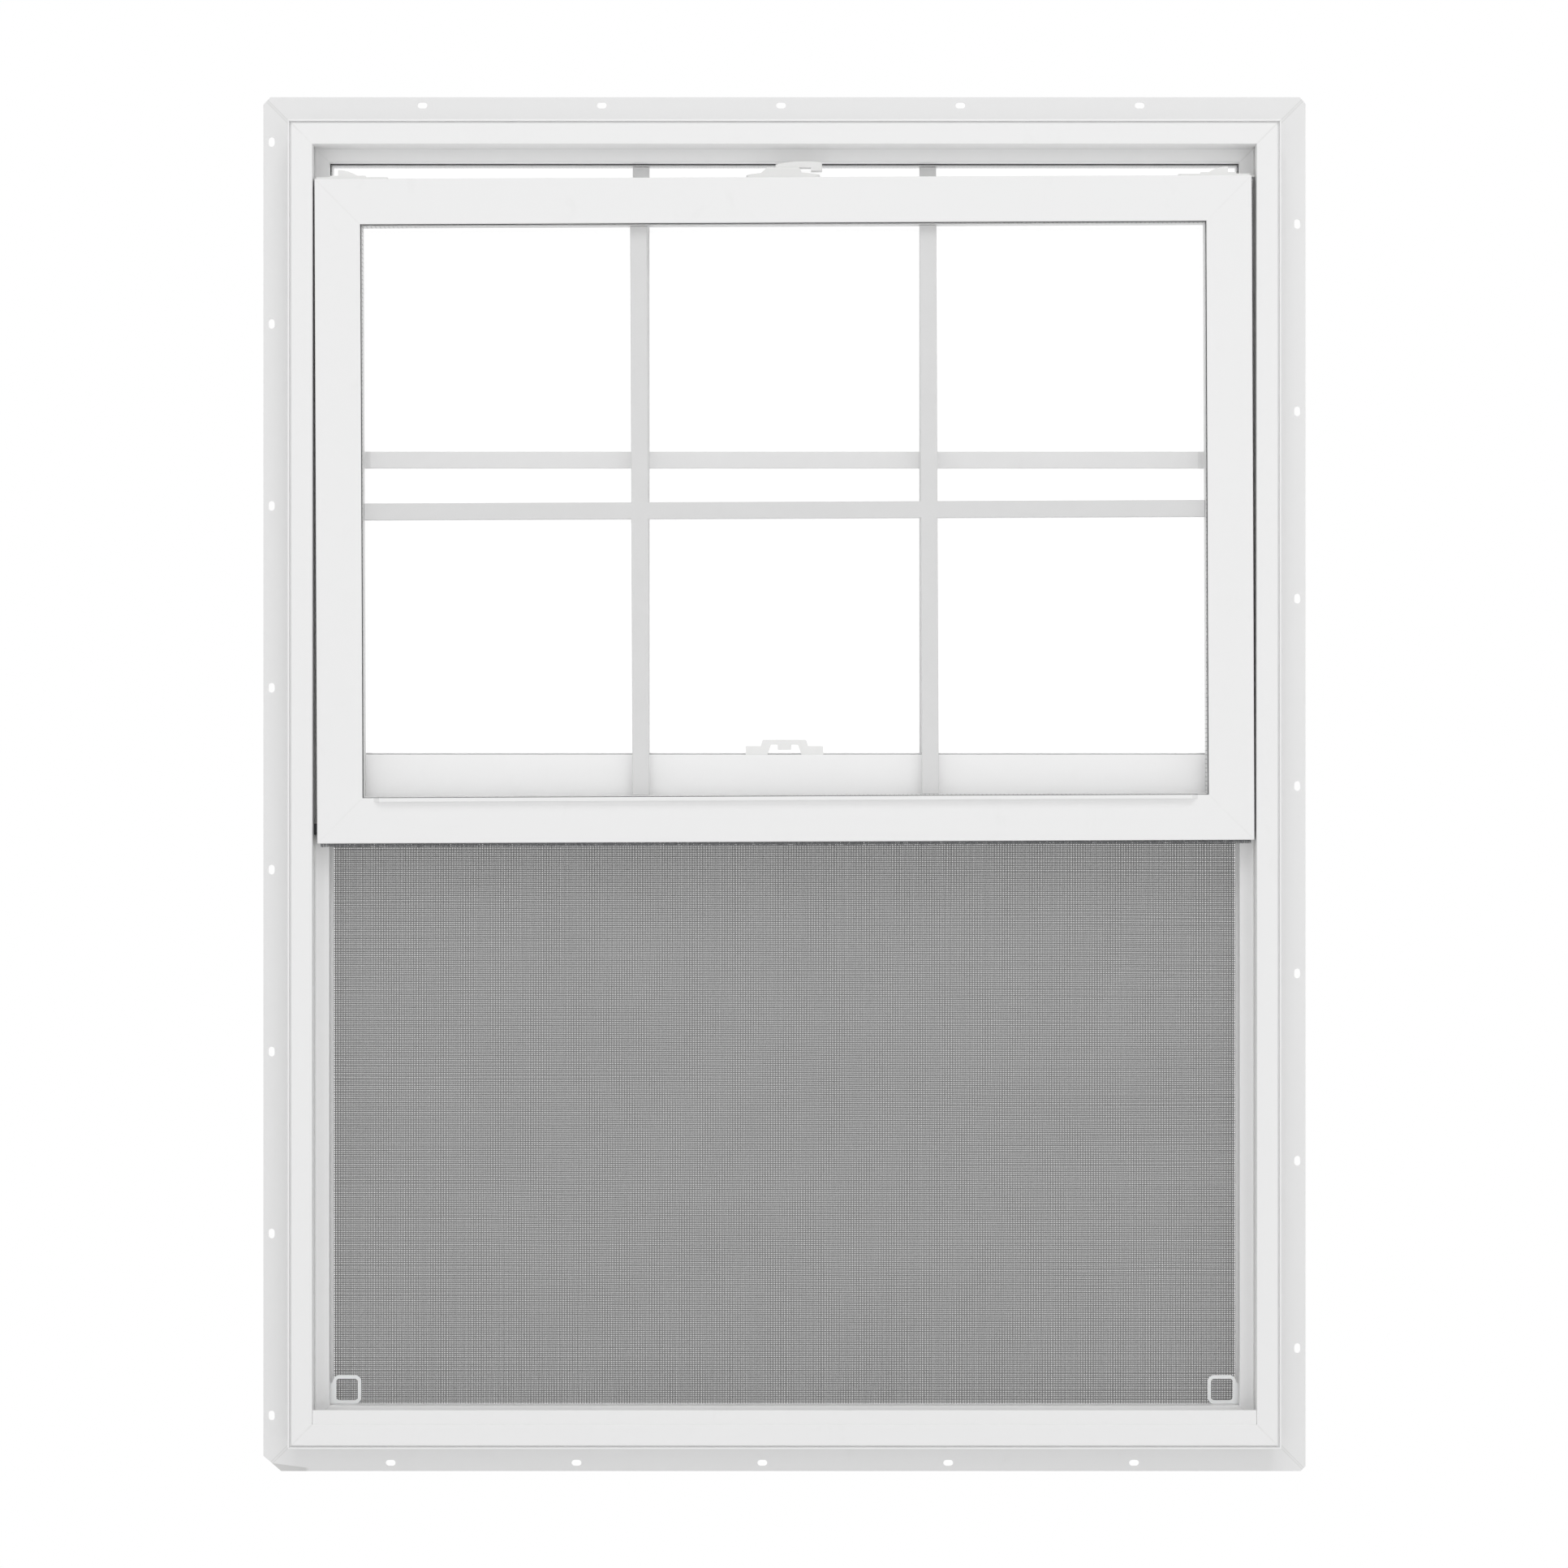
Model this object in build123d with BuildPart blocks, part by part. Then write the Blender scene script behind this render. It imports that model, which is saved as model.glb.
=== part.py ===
from build123d import *
from math import radians, sin
import os

# Single hung window: a white vinyl frame with nail fins, a fixed upper light, a raised lower
# sash and an insect screen. Millimetres. X runs to the right as seen from the room, Y runs
# outdoors and Z runs up. The origin is on the wall side face of the sill's nail fin, at the
# middle of its width. Every depth below is measured outdoors from the frame's room side face.

# Overall frame
frame_width = 901.7
frame_height = 1206.5
frame_depth = 73.0
wall = 2.0
face_leg = 22.5
edge_round = 0.8

# Nail fin
fin_width = 28.0
fin_thick = 1.8
fin_depth = 47.6

# Nail slots: how many on each side, their pitch, and the row's centre from that side's middle
slot_length = 8.9
slot_width = 5.6
slot_from_edge = 7.5
head_slots = {"count": 5, "pitch": 164.8, "centre": -3.1}
sill_slots = {"count": 5, "pitch": 170.8, "centre": -20.3}
left_slots = {"count": 8, "pitch": 167.2, "centre": 5.0}
right_slots = {"count": 7, "pitch": 172.2, "centre": -1.7}

# Corner cuts of the nail fin, across and up
cut_top_left = (6.5, 6.7)
cut_top_right = (5.2, 6.0)
cut_bottom_right = (4.5, 4.5)
cut_bottom_left = (16.4, 14.1)

# Accessory groove in the room side face
groove_from_edge = 1.6
groove_width = 1.9
groove_deep = 3.0

# Stop that the sash slides against, and the glass pocket behind it with its bead lip
stop_depth = 30.0
stop_height = 12.0
stop_thick = 10.5
pocket_floor = 16.0
lip_depth = 61.5
lip_height = 4.5
lip_thick = 1.5

# Balance channel slot in the jambs, and weep slots in the sill's outdoor wall
balance_slot_depth = 15.5
balance_slot_width = 9.0
weep_length = 26.0
weep_height = 4.0
weep_rise = 6.0
weep_inset = 130.0

# Sealed glass units
pane_thick = 3.0
air_gap = 12.0
sealant_width = 4.5
spacer_width = 8.0
unit_bite = 11.0
tape_thick_upper = 1.2
tape_thick_sash = 0.8
tape_width = 8.0
tape_proud = 0.4
block_length = 100.0
block_inset = 120.0

# Grid bars between the panes
bar_width = 15.4
bar_thick = 5.0
bar_bevel = 0.6

# Glazing beads
bead_height_upper = 33.0
bead_height_sash = 40.0
bead_thin = 3.0
bead_slope = 8.0
bead_slope_sash = 4.0
bead_thin_sash = 1.2
bead_setback = 2.0
bead_fit = 0.3
mitre_gap = 0.2

# Sill riser, clipped into the sill in front of the closed sash
riser_height = 12.9
riser_thick = 1.8
riser_foot = 1.5
riser_foot_reach = 5.0
riser_hook = 4.5
riser_setback = 0.4
riser_round = 0.6
riser_fit = 0.3

# Meeting rail, its top edge measured up from the middle of the frame
meeting_rail_top = 27.2
meeting_rail_height = 47.2
meeting_rail_depth = 31.5
end_fit = 0.3

# Lower sash. Its width and height follow from the frame and these gaps
sash_side_gap = 2.85
sash_over_rail = 0.65
sash_head_gap = 29.5
sash_front = 3.0
sash_depth = 26.0
sash_rail = 41.2
sash_leg = 3.2
sash_chamber = 28.0

# The raised sash hangs a little askew in its jambs, in degrees, with its right side higher
sash_lean = 0.24

# Pile weatherstrip
pile_width = 4.6
pile_room = 0.2
pile_groove = 1.8
pile_from_face = 6.2
pile_gap = 0.2
bottom_pile = 3.6

# Finger lift along the bottom rail
lift_height = 3.4
lift_reach = 5.5
lift_from_end = 51.5

# Cam lock on the sash's top rail
lock_length = 67.0
lock_width = 17.0
lock_foot_end = 2.6
lock_foot_side = 4.2
lock_foot_mid = 5.4
lock_body_left = 20.5
lock_body_right = 17.5
lock_body_top_left = 14.2
lock_body_top_right = 14.5
lock_body_width = 13.6
lock_height = 9.8
lock_round = 0.8
lever_left = 6.9
lever_right = 35.6
lever_heel = 2.6
lever_crown = 5.4
lever_tip = 4.4
lever_width = 11.0
lever_grip = 10.1
lever_grip_drop = 3.0
lever_round = 1.0

# Keeper on the meeting rail
keeper_length = 71.0
keeper_low = 7.6
keeper_high = 13.4
keeper_width = 8.4
keeper_raised = 43.4
keeper_top = 39.6
arch_foot = 31.0
arch_top = 24.6
arch_height = 9.0
nub_width = 12.7
nub_drop = 4.8
keeper_round = 0.7

# Tilt latches on the sash's top rail
latch_length = 66.0
latch_width = 19.0
latch_plate = 1.9
latch_round = 3.0
latch_tongue = 5.6
latch_tongue_width = 8.0
button_length = 32.0
button_width = 12.0
button_base = 1.9
button_tab_length = 17.5
button_tab_height = 5.2
button_from_edge = 13.5
button_bulge_along = 9.6
button_bulge_up = 3.7

# Pivot bars and balance shoes, which carry the sash in the jambs
pivot_thick = 6.0
pivot_height = 10.0
pivot_rise = 8.0
shoe_length = 52.0
shoe_depth = 18.0
shoe_fit = 0.3

# Insect screen
screen_bar = 15.9
screen_thick = 8.0
screen_wall = 0.8
screen_shows = 1.05
screen_fit = 0.3

# Screen cloth, as a coarse lattice: how many openings across and up, and the strands between.
# The real cloth has a yarn every millimetre and a half
mesh_thick = 0.5
mesh_across = 12
mesh_up = 8
mesh_strand = 7.0

# Spline that holds the cloth
spline_width = 4.0
spline_deep = 3.6
spline_inset = 3.0
spline_under = 0.5

# Pull tabs at the screen's lower corners
tab_size = 26.1
tab_wall = 3.1
tab_thick = 2.0
tab_round = 6.0
tab_gap = 1.5
tab_rise = 0.2
tab_side_gap = 1.9
tab_root_height = 14.0
tab_leg = 9.0

os.makedirs("parts", exist_ok=True)

# Places worked out from the sizes above
frame_half = frame_width / 2
frame_bottom = fin_width / 2
frame_top = frame_bottom + frame_height
frame_mid = frame_bottom + frame_height / 2
stop_back = stop_depth + stop_thick
stop_edge = face_leg + stop_height
lip_back = lip_depth + lip_thick
bead_back = frame_depth - bead_setback
unit_thick = 2 * pane_thick + air_gap
rail_top = frame_mid + meeting_rail_top
rail_bottom = rail_top - meeting_rail_height
sash_back = sash_front + sash_depth
sash_half = frame_half - face_leg - sash_side_gap
sash_closed_bottom = frame_bottom + face_leg + riser_foot + bottom_pile
sash_height = rail_top + sash_over_rail - sash_closed_bottom
sash_top = frame_top - face_leg - sash_head_gap
sash_bottom = sash_top - sash_height
lean_shift = sash_height / 2 * sin(radians(sash_lean))
hung_on_sash = ("sash", "lock_base", "lock_lever", "tilt", "pivot", "balance")


def room_point(across, depth, height):
    # A point given by its place across, its depth behind the room side face, and its height
    return Vector(across, depth - fin_depth, height)


def facing_room(depth, across=0.0, height=0.0):
    # Sketches seen from the room: x across, y up
    return Plane(room_point(across, depth, height), x_dir=(1, 0, 0), z_dir=(0, -1, 0))


def lying(height, across=0.0, depth=0.0):
    # Sketches seen from above: x across, y outdoors
    return Plane(room_point(across, depth, height), x_dir=(1, 0, 0), z_dir=(0, 0, 1))


def cross_section(height, across):
    # Sketches across a rail that runs left to right: x outdoors, y up
    return Plane(room_point(across, 0, height), x_dir=(0, 1, 0), z_dir=(1, 0, 0))


def ring_sides(half_width, bottom, top, depth=0.0):
    # The four sides of an upright rectangle. Each side's plane has its x inward, its y outdoors
    # and its z along the side, so that one section serves all four
    across, up = Vector(1, 0, 0), Vector(0, 0, 1)
    left = Plane(room_point(-half_width, depth, bottom), x_dir=across, z_dir=up)
    right = Plane(room_point(half_width, depth, top), x_dir=-across, z_dir=-up)
    head = Plane(room_point(-half_width, depth, top), x_dir=-up, z_dir=across)
    sill = Plane(room_point(half_width, depth, bottom), x_dir=up, z_dir=-across)
    return {
        "left": (left, top - bottom),
        "right": (right, top - bottom),
        "head": (head, 2 * half_width),
        "sill": (sill, 2 * half_width),
    }


def mitre_planes(plane, length, gap=0.0):
    # The 45 degree planes at the two ends of a side, set back by half of a gap
    start_facing = (plane.z_dir - plane.x_dir).normalized()
    end_facing = (-plane.z_dir - plane.x_dir).normalized()
    start = Plane(plane.origin + start_facing * gap / 2, x_dir=plane.y_dir, z_dir=start_facing)
    far_corner = plane.origin + plane.z_dir * length
    end = Plane(far_corner + end_facing * gap / 2, x_dir=plane.y_dir, z_dir=end_facing)
    return start, end


def mitred_bar(section, plane, length, overrun=0.0, gap=0.0):
    # One side of a frame: a section run along its plane and cut at 45 degrees at both ends
    with BuildPart() as bar:
        with BuildSketch(plane.offset(-overrun)):
            add(section)
        extrude(amount=length + 2 * overrun)
        for cut in mitre_planes(plane, length, gap):
            split(bisect_by=cut, keep=Keep.TOP)
    return bar.part


def hollow(low_x, high_x, low_y, high_y):
    # Cuts a rectangular chamber from the section that is being drawn
    with Locations(((low_x + high_x) / 2, (low_y + high_y) / 2)):
        Rectangle(high_x - low_x, high_y - low_y, mode=Mode.SUBTRACT)


def round_corners(section, points, radius):
    # Rounds the corners of a section that lie at the given points
    near = edge_round / 10
    corners = [
        vertex
        for vertex in section.vertices()
        if any(abs(vertex.X - x) + abs(vertex.Y - y) < near for x, y in points)
    ]
    fillet(corners, radius=radius)


def finish(piece, name):
    # Labels one piece and writes its file. The sash and what it carries lean about its middle
    part = piece.part
    if name.startswith(hung_on_sash):
        middle = room_point(0, 0, (sash_bottom + sash_top) / 2)
        part = part.rotate(Axis(middle, (0, -1, 0)), sash_lean)
    part.label = name
    export_step(part, f"parts/{name}.step")


# Frame extrusion, drawn with x inward from the frame's edge and y outdoors
def frame_section(slotted=False, grooved=False):
    groove_end = groove_from_edge + groove_width
    with BuildSketch() as section:
        with BuildLine():
            Polyline(
                (0, 0),
                (groove_from_edge, 0),
                (groove_from_edge, groove_deep),
                (groove_end, groove_deep),
                (groove_end, 0),
                (face_leg, 0),
                (face_leg, stop_depth),
                (stop_edge, stop_depth),
                (stop_edge, stop_back),
                (pocket_floor, stop_back),
                (pocket_floor, lip_depth),
                (pocket_floor + lip_height, lip_depth),
                (pocket_floor + lip_height, lip_back),
                (pocket_floor, lip_back),
                (pocket_floor, frame_depth),
                (0, frame_depth),
                (0, fin_depth + fin_thick),
                (-fin_width, fin_depth + fin_thick),
                (-fin_width, fin_depth),
                (0, fin_depth),
                close=True,
            )
        make_face()
        # Chambers behind the face leg, through the stop and behind the glass pocket
        hollow(groove_end + wall, face_leg - wall, wall, stop_depth)
        hollow(wall, stop_edge - wall, stop_depth + wall, stop_back - wall)
        hollow(wall, pocket_floor - wall, stop_back, frame_depth - wall)
        seen = [(0, 0), (face_leg, 0), (stop_edge, stop_depth), (stop_edge, stop_back)]
        round_corners(section, seen, edge_round)
        if slotted:
            # The balance channel opens towards the sash
            slot_end = balance_slot_depth + balance_slot_width
            hollow(face_leg - wall, face_leg, balance_slot_depth, slot_end)
        if grooved:
            # The riser's hook goes through the sill's upper wall
            hook_start = riser_setback + riser_foot_reach - riser_thick - riser_fit
            hook_end = riser_setback + riser_foot_reach + riser_fit
            hollow(face_leg - wall, face_leg, hook_start, hook_end)
    return section.sketch


def corner_cut(side_x, side_z, cut):
    # The upright plane that trims one corner of the fin, facing the middle of the window
    across, up = cut
    corner_x = side_x * (frame_half + fin_width - across)
    corner_z = frame_mid + side_z * (frame_height / 2 + fin_width)
    facing = Vector(-side_x * up, 0, -side_z * across)
    return Plane(room_point(corner_x, fin_depth, corner_z), x_dir=(0, 1, 0), z_dir=facing)


top_left = corner_cut(-1, 1, cut_top_left)
top_right = corner_cut(1, 1, cut_top_right)
bottom_right = corner_cut(1, -1, cut_bottom_right)
bottom_left = corner_cut(-1, -1, cut_bottom_left)
frame_pieces = {
    "frame_head": ("head", frame_section(), head_slots, (top_left, top_right)),
    "frame_sill": ("sill", frame_section(grooved=True), sill_slots, (bottom_left, bottom_right)),
    "frame_jamb_left": ("left", frame_section(slotted=True), left_slots, (top_left, bottom_left)),
    "frame_jamb_right": ("right", frame_section(slotted=True), right_slots, (top_right, bottom_right)),
}
frame_sides = ring_sides(frame_half, frame_bottom, frame_top)
for name, (side, section, slots, corners) in frame_pieces.items():
    plane, length = frame_sides[side]
    blank = mitred_bar(section, plane, length, overrun=fin_width)
    with BuildPart() as bar:
        add(blank)
        for corner in corners:
            split(bisect_by=corner, keep=Keep.TOP)
        # Nail slots. The row's centre is given along X or Z, and two sides run the other way
        row_centre = length / 2 + slots["centre"] * (plane.z_dir.X + plane.z_dir.Z)
        fin_face = plane.origin + plane.y_dir * fin_depth
        with BuildSketch(Plane(fin_face, x_dir=plane.z_dir, z_dir=plane.y_dir)):
            with Locations((row_centre, slot_from_edge - fin_width)):
                with GridLocations(slots["pitch"], slots["pitch"], slots["count"], 1):
                    SlotOverall(slot_length, slot_width)
        extrude(amount=fin_thick, mode=Mode.SUBTRACT)
        if name == "frame_sill":
            # Weep slots through the outdoor wall
            with BuildSketch(facing_room(frame_depth - wall, height=frame_bottom + weep_rise)):
                weep_spacing = 2 * (frame_half - weep_inset)
                with GridLocations(weep_spacing, weep_spacing, 2, 1):
                    Rectangle(weep_length, weep_height)
            extrude(amount=-wall, mode=Mode.SUBTRACT)
    finish(bar, name)

# Sill riser
riser_half = frame_half - face_leg - riser_fit
hook_back = riser_setback + riser_foot_reach
hook_front = hook_back - riser_thick
riser_back = riser_setback + riser_thick
with BuildPart() as sill_riser:
    with BuildSketch(cross_section(frame_bottom + face_leg, -riser_half)) as riser_section:
        with BuildLine():
            Polyline(
                (riser_setback, 0),
                (riser_setback, riser_height),
                (riser_back, riser_height),
                (riser_back, riser_foot),
                (hook_back, riser_foot),
                (hook_back, -riser_hook),
                (hook_front, -riser_hook),
                (hook_front, 0),
                close=True,
            )
        make_face()
    extrude(amount=2 * riser_half)
    fillet(sill_riser.edges().filter_by(Axis.X).group_by(Axis.Z)[-1], radius=riser_round)
finish(sill_riser, "sill_riser")

# Meeting rail, which has the lower side of the upper glass pocket on top
floor_height = meeting_rail_height - stop_edge + pocket_floor
rail_half = frame_half - pocket_floor - end_fit
front_half = frame_half - stop_edge - end_fit
back_half = rail_half - lip_height
front_step = stop_back + end_fit
back_step = lip_depth - end_fit
with BuildPart() as meeting_rail:
    with BuildSketch(cross_section(rail_bottom, -rail_half)):
        with BuildLine():
            Polyline(
                (meeting_rail_depth, 0),
                (meeting_rail_depth, meeting_rail_height),
                (stop_back, meeting_rail_height),
                (stop_back, floor_height),
                (lip_depth, floor_height),
                (lip_depth, floor_height + lip_height),
                (lip_back, floor_height + lip_height),
                (lip_back, floor_height),
                (bead_back, floor_height),
                (bead_back, 0),
                close=True,
            )
        make_face()
        hollow(meeting_rail_depth + wall, stop_back - wall, wall, meeting_rail_height - wall)
        hollow(stop_back, lip_depth - wall, wall, floor_height - wall)
        hollow(lip_depth, bead_back - wall, wall, floor_height - wall)
    extrude(amount=2 * rail_half)
    # The ends step round the jambs' stops and bead lips
    with BuildSketch(lying(rail_bottom)):
        with BuildLine():
            half_outline = Polyline(
                (0, meeting_rail_depth),
                (front_half, meeting_rail_depth),
                (front_half, front_step),
                (rail_half, front_step),
                (rail_half, back_step),
                (back_half, back_step),
                (back_half, bead_back),
                (0, bead_back),
            )
            mirror(half_outline, about=Plane.YZ)
        make_face()
    extrude(amount=meeting_rail_height, mode=Mode.INTERSECT)
    rail_edges = meeting_rail.edges().filter_by(Axis.X).group_by(Axis.Y)[0]
    fillet(rail_edges.sort_by(Axis.Z)[-1], radius=edge_round)
finish(meeting_rail, "meeting_rail")


# Pieces of a glazed opening: panes, rings, grid and beads
def pane(name, half_width, bottom, top, depth):
    with BuildPart() as glass:
        with BuildSketch(facing_room(depth, height=(bottom + top) / 2)):
            Rectangle(2 * half_width, top - bottom)
        extrude(amount=-pane_thick)
    finish(glass, name)


def flat_ring(name, half_width, bottom, top, width, depth, thick):
    with BuildPart() as ring:
        with BuildSketch(facing_room(depth, height=(bottom + top) / 2)):
            Rectangle(2 * half_width, top - bottom)
            Rectangle(2 * (half_width - width), top - bottom - 2 * width, mode=Mode.SUBTRACT)
        extrude(amount=-thick)
    finish(ring, name)


def grid(name, half_width, bottom, top, spacing, depth):
    # Two uprights run through and the cross bar meets them, midway between the panes
    with BuildPart() as bars:
        bars_depth = depth + (air_gap - bar_thick) / 2
        with BuildSketch(facing_room(bars_depth, height=(bottom + top) / 2)):
            with GridLocations(spacing, spacing, 2, 1):
                Rectangle(bar_width, top - bottom)
            Rectangle(2 * half_width, bar_width)
        extrude(amount=-bar_thick)
        chamfer(bars.edges().filter_by(Axis.Y, reverse=True), length=bar_bevel)
    finish(bars, name)


def beads(name, half_width, bottom, top, section):
    sides = ring_sides(half_width, bottom, top).values()
    cut_strips = [mitred_bar(section, plane, length, gap=mitre_gap) for plane, length in sides]
    with BuildPart() as strips:
        add(cut_strips)
    finish(strips, name)


def glazing(prefix, half_width, bottom, top, leg_edge, front, tape_thick, spacing):
    # A sealed unit behind a stop or leg whose inner edge is leg_edge from the given rectangle
    tape_edge = leg_edge + tape_proud - tape_width
    glass_edge = leg_edge - unit_bite
    spacer_edge = glass_edge + sealant_width
    sight_edge = spacer_edge + spacer_width
    unit_front = front + tape_thick
    gap_front = unit_front + pane_thick

    def inset(edge):
        return half_width - edge, bottom + edge, top - edge

    flat_ring(f"{prefix}_tape", *inset(tape_edge), tape_width, front, tape_thick)
    pane(f"{prefix}_glass_inner", *inset(glass_edge), unit_front)
    flat_ring(f"{prefix}_spacer", *inset(spacer_edge), spacer_width, gap_front, air_gap)
    grid(f"{prefix}_grid", *inset(sight_edge), spacing, gap_front)
    pane(f"{prefix}_glass_outer", *inset(glass_edge), gap_front + air_gap)


# The uprights stand at thirds of the sash's glass, and those above line up with them
bar_spacing = 2 * (sash_half - sash_rail + unit_bite) / 3
upper_bottom = rail_top - stop_edge
glazing(
    "upper", frame_half, upper_bottom, frame_top, stop_edge, stop_back, tape_thick_upper, bar_spacing
)

# The upper beads hook over the frame's lip and bear on the outer pane
bead_front = stop_back + tape_thick_upper + unit_thick + bead_fit
bead_floor = pocket_floor + bead_fit
bead_hook = pocket_floor + lip_height + bead_fit
with BuildSketch() as upper_bead_section:
    with BuildLine():
        Polyline(
            (bead_hook, bead_front),
            (bead_height_upper, bead_front),
            (bead_height_upper, bead_front + bead_thin),
            (bead_height_upper - bead_slope, bead_back),
            (bead_floor, bead_back),
            (bead_floor, lip_back + bead_fit),
            (bead_hook, lip_back + bead_fit),
            close=True,
        )
    make_face()
beads("upper_beads", frame_half, upper_bottom, frame_top, upper_bead_section.sketch)

# Setting blocks between the pocket's floor and the upper glass
unit_edge = stop_edge - unit_bite
with BuildPart() as setting_blocks:
    block_depth = stop_back + tape_thick_upper + unit_thick / 2
    with BuildSketch(lying(upper_bottom + pocket_floor, depth=block_depth)):
        block_spacing = 2 * (frame_half - unit_edge - block_inset)
        with GridLocations(block_spacing, block_spacing, 2, 1):
            Rectangle(block_length, unit_thick)
    extrude(amount=unit_edge - pocket_floor)
finish(setting_blocks, "setting_blocks")

# Lower sash extrusion, drawn with x inward from the sash's edge and y outdoors
pile_start = sash_front + pile_from_face
groove_stop = pile_start + pile_width + 2 * pile_room
with BuildSketch() as sash_section:
    with BuildLine():
        Polyline(
            (0, sash_front),
            (sash_rail, sash_front),
            (sash_rail, sash_front + sash_leg),
            (sash_chamber, sash_front + sash_leg),
            (sash_chamber, sash_back),
            (0, sash_back),
            (0, groove_stop),
            (pile_groove, groove_stop),
            (pile_groove, pile_start),
            (0, pile_start),
            close=True,
        )
    make_face()
    hollow(pile_groove + wall, sash_chamber - wall, sash_front + wall, sash_back - wall)
    outer = [(0, sash_front), (sash_rail, sash_front), (0, sash_back), (sash_chamber, sash_back)]
    round_corners(sash_section, outer, edge_round)

sash_pieces = {
    "sash_top_rail": "head",
    "sash_bottom_rail": "sill",
    "sash_stile_left": "left",
    "sash_stile_right": "right",
}
sash_sides = ring_sides(sash_half, sash_bottom, sash_top)
lift_half = sash_half - lift_from_end
for name, side in sash_pieces.items():
    blank = mitred_bar(sash_section.sketch, *sash_sides[side])
    with BuildPart() as bar:
        add(blank)
        if name == "sash_bottom_rail":
            # Finger lift, a lip along the rail's upper edge with its ends cut back
            lift_level = sash_bottom + sash_rail - lift_height
            with BuildSketch(lying(lift_level, depth=sash_front)):
                with BuildLine():
                    Polyline(
                        (-lift_half, 0),
                        (lift_reach - lift_half, -lift_reach),
                        (lift_half - lift_reach, -lift_reach),
                        (lift_half, 0),
                        close=True,
                    )
                make_face()
            extrude(amount=lift_height)
    finish(bar, name)

sash_leg_back = sash_front + sash_leg
glazing(
    "sash", sash_half, sash_bottom, sash_top, sash_rail, sash_leg_back, tape_thick_sash, bar_spacing
)
sash_bead_front = sash_leg_back + tape_thick_sash + unit_thick + bead_fit
with BuildSketch() as sash_bead_section:
    with BuildLine():
        Polyline(
            (sash_chamber + bead_fit, sash_bead_front),
            (bead_height_sash, sash_bead_front),
            (bead_height_sash, sash_bead_front + bead_thin_sash),
            (bead_height_sash - bead_slope_sash, sash_back),
            (sash_chamber + bead_fit, sash_back),
            close=True,
        )
    make_face()
beads("sash_beads", sash_half, sash_bottom, sash_top, sash_bead_section.sketch)

# Pile strips, upright in the stiles' grooves and along the underside of the sash. Those in the
# stiles just clear the jambs at the corners that the lean brings nearer
pile_middle = pile_start + pile_room + pile_width / 2
pile_reach = sash_side_gap - lean_shift - pile_gap
with BuildPart() as side_piles:
    with BuildSketch(lying(sash_bottom, depth=pile_middle)):
        pile_spacing = 2 * sash_half + pile_reach - pile_groove
        with GridLocations(pile_spacing, pile_spacing, 2, 1):
            Rectangle(pile_groove + pile_reach, pile_width)
    extrude(amount=sash_height)
finish(side_piles, "sash_side_piles")

with BuildPart() as bottom_seal:
    with BuildSketch(lying(sash_bottom - bottom_pile, depth=pile_middle)):
        Rectangle(2 * (sash_half - pile_groove - pile_room), pile_width)
    extrude(amount=bottom_pile + pile_groove)
finish(bottom_seal, "sash_bottom_pile")

# Cam lock: a crowned foot cut to a rounded plan, with a sloping body on it
lock_mid = sash_front + sash_depth / 2
lock_half = lock_length / 2
with BuildPart() as lock_base:
    with BuildSketch(facing_room(lock_mid, height=sash_top)):
        with BuildLine():
            Polyline(
                (-lock_half, lock_foot_end),
                (-lock_half, 0),
                (lock_half, 0),
                (lock_half, lock_foot_end),
            )
            ThreePointArc(
                (lock_half, lock_foot_end), (0, lock_foot_mid), (-lock_half, lock_foot_end)
            )
        make_face()
    extrude(amount=lock_width / 2, both=True)
    with BuildSketch(lying(sash_top, depth=lock_mid)):
        RectangleRounded(lock_length, lock_width, lock_foot_side)
    extrude(amount=lock_foot_mid, mode=Mode.INTERSECT)
    with BuildSketch(facing_room(lock_mid, height=sash_top)):
        with BuildLine():
            Polyline(
                (-lock_body_left, lock_foot_end),
                (-lock_body_left, lock_foot_side),
                (-lock_body_top_left, lock_height),
                (lock_body_top_right, lock_height),
                (lock_body_right, lock_foot_side),
                (lock_body_right, lock_foot_end),
                close=True,
            )
        make_face()
    extrude(amount=lock_body_width / 2, both=True)
    fillet(lock_base.faces().sort_by(Axis.Z)[-1].edges().filter_by(Axis.X), radius=lock_round)
finish(lock_base, "lock_base")

# Lever on top of the lock, arched along its length, with a grip that turns down at its tip
lever_crown_at = (lever_right - lever_left) / 2
with BuildPart() as lock_lever:
    with BuildSketch(facing_room(lock_mid, height=sash_top + lock_height)):
        with BuildLine():
            Polyline(
                (-lever_left, lever_heel),
                (-lever_left, 0),
                (lever_right - lever_grip, 0),
                (lever_right - lever_grip, -lever_grip_drop),
                (lever_right, -lever_grip_drop),
                (lever_right, lever_tip),
            )
            ThreePointArc(
                (lever_right, lever_tip), (lever_crown_at, lever_crown), (-lever_left, lever_heel)
            )
        make_face()
    extrude(amount=lever_width / 2, both=True)
    upright_edges = lock_lever.edges().filter_by(Axis.Z).group_by(Axis.X)
    fillet(upright_edges[0] + upright_edges[-1], radius=lever_round)
finish(lock_lever, "lock_lever")

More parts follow.
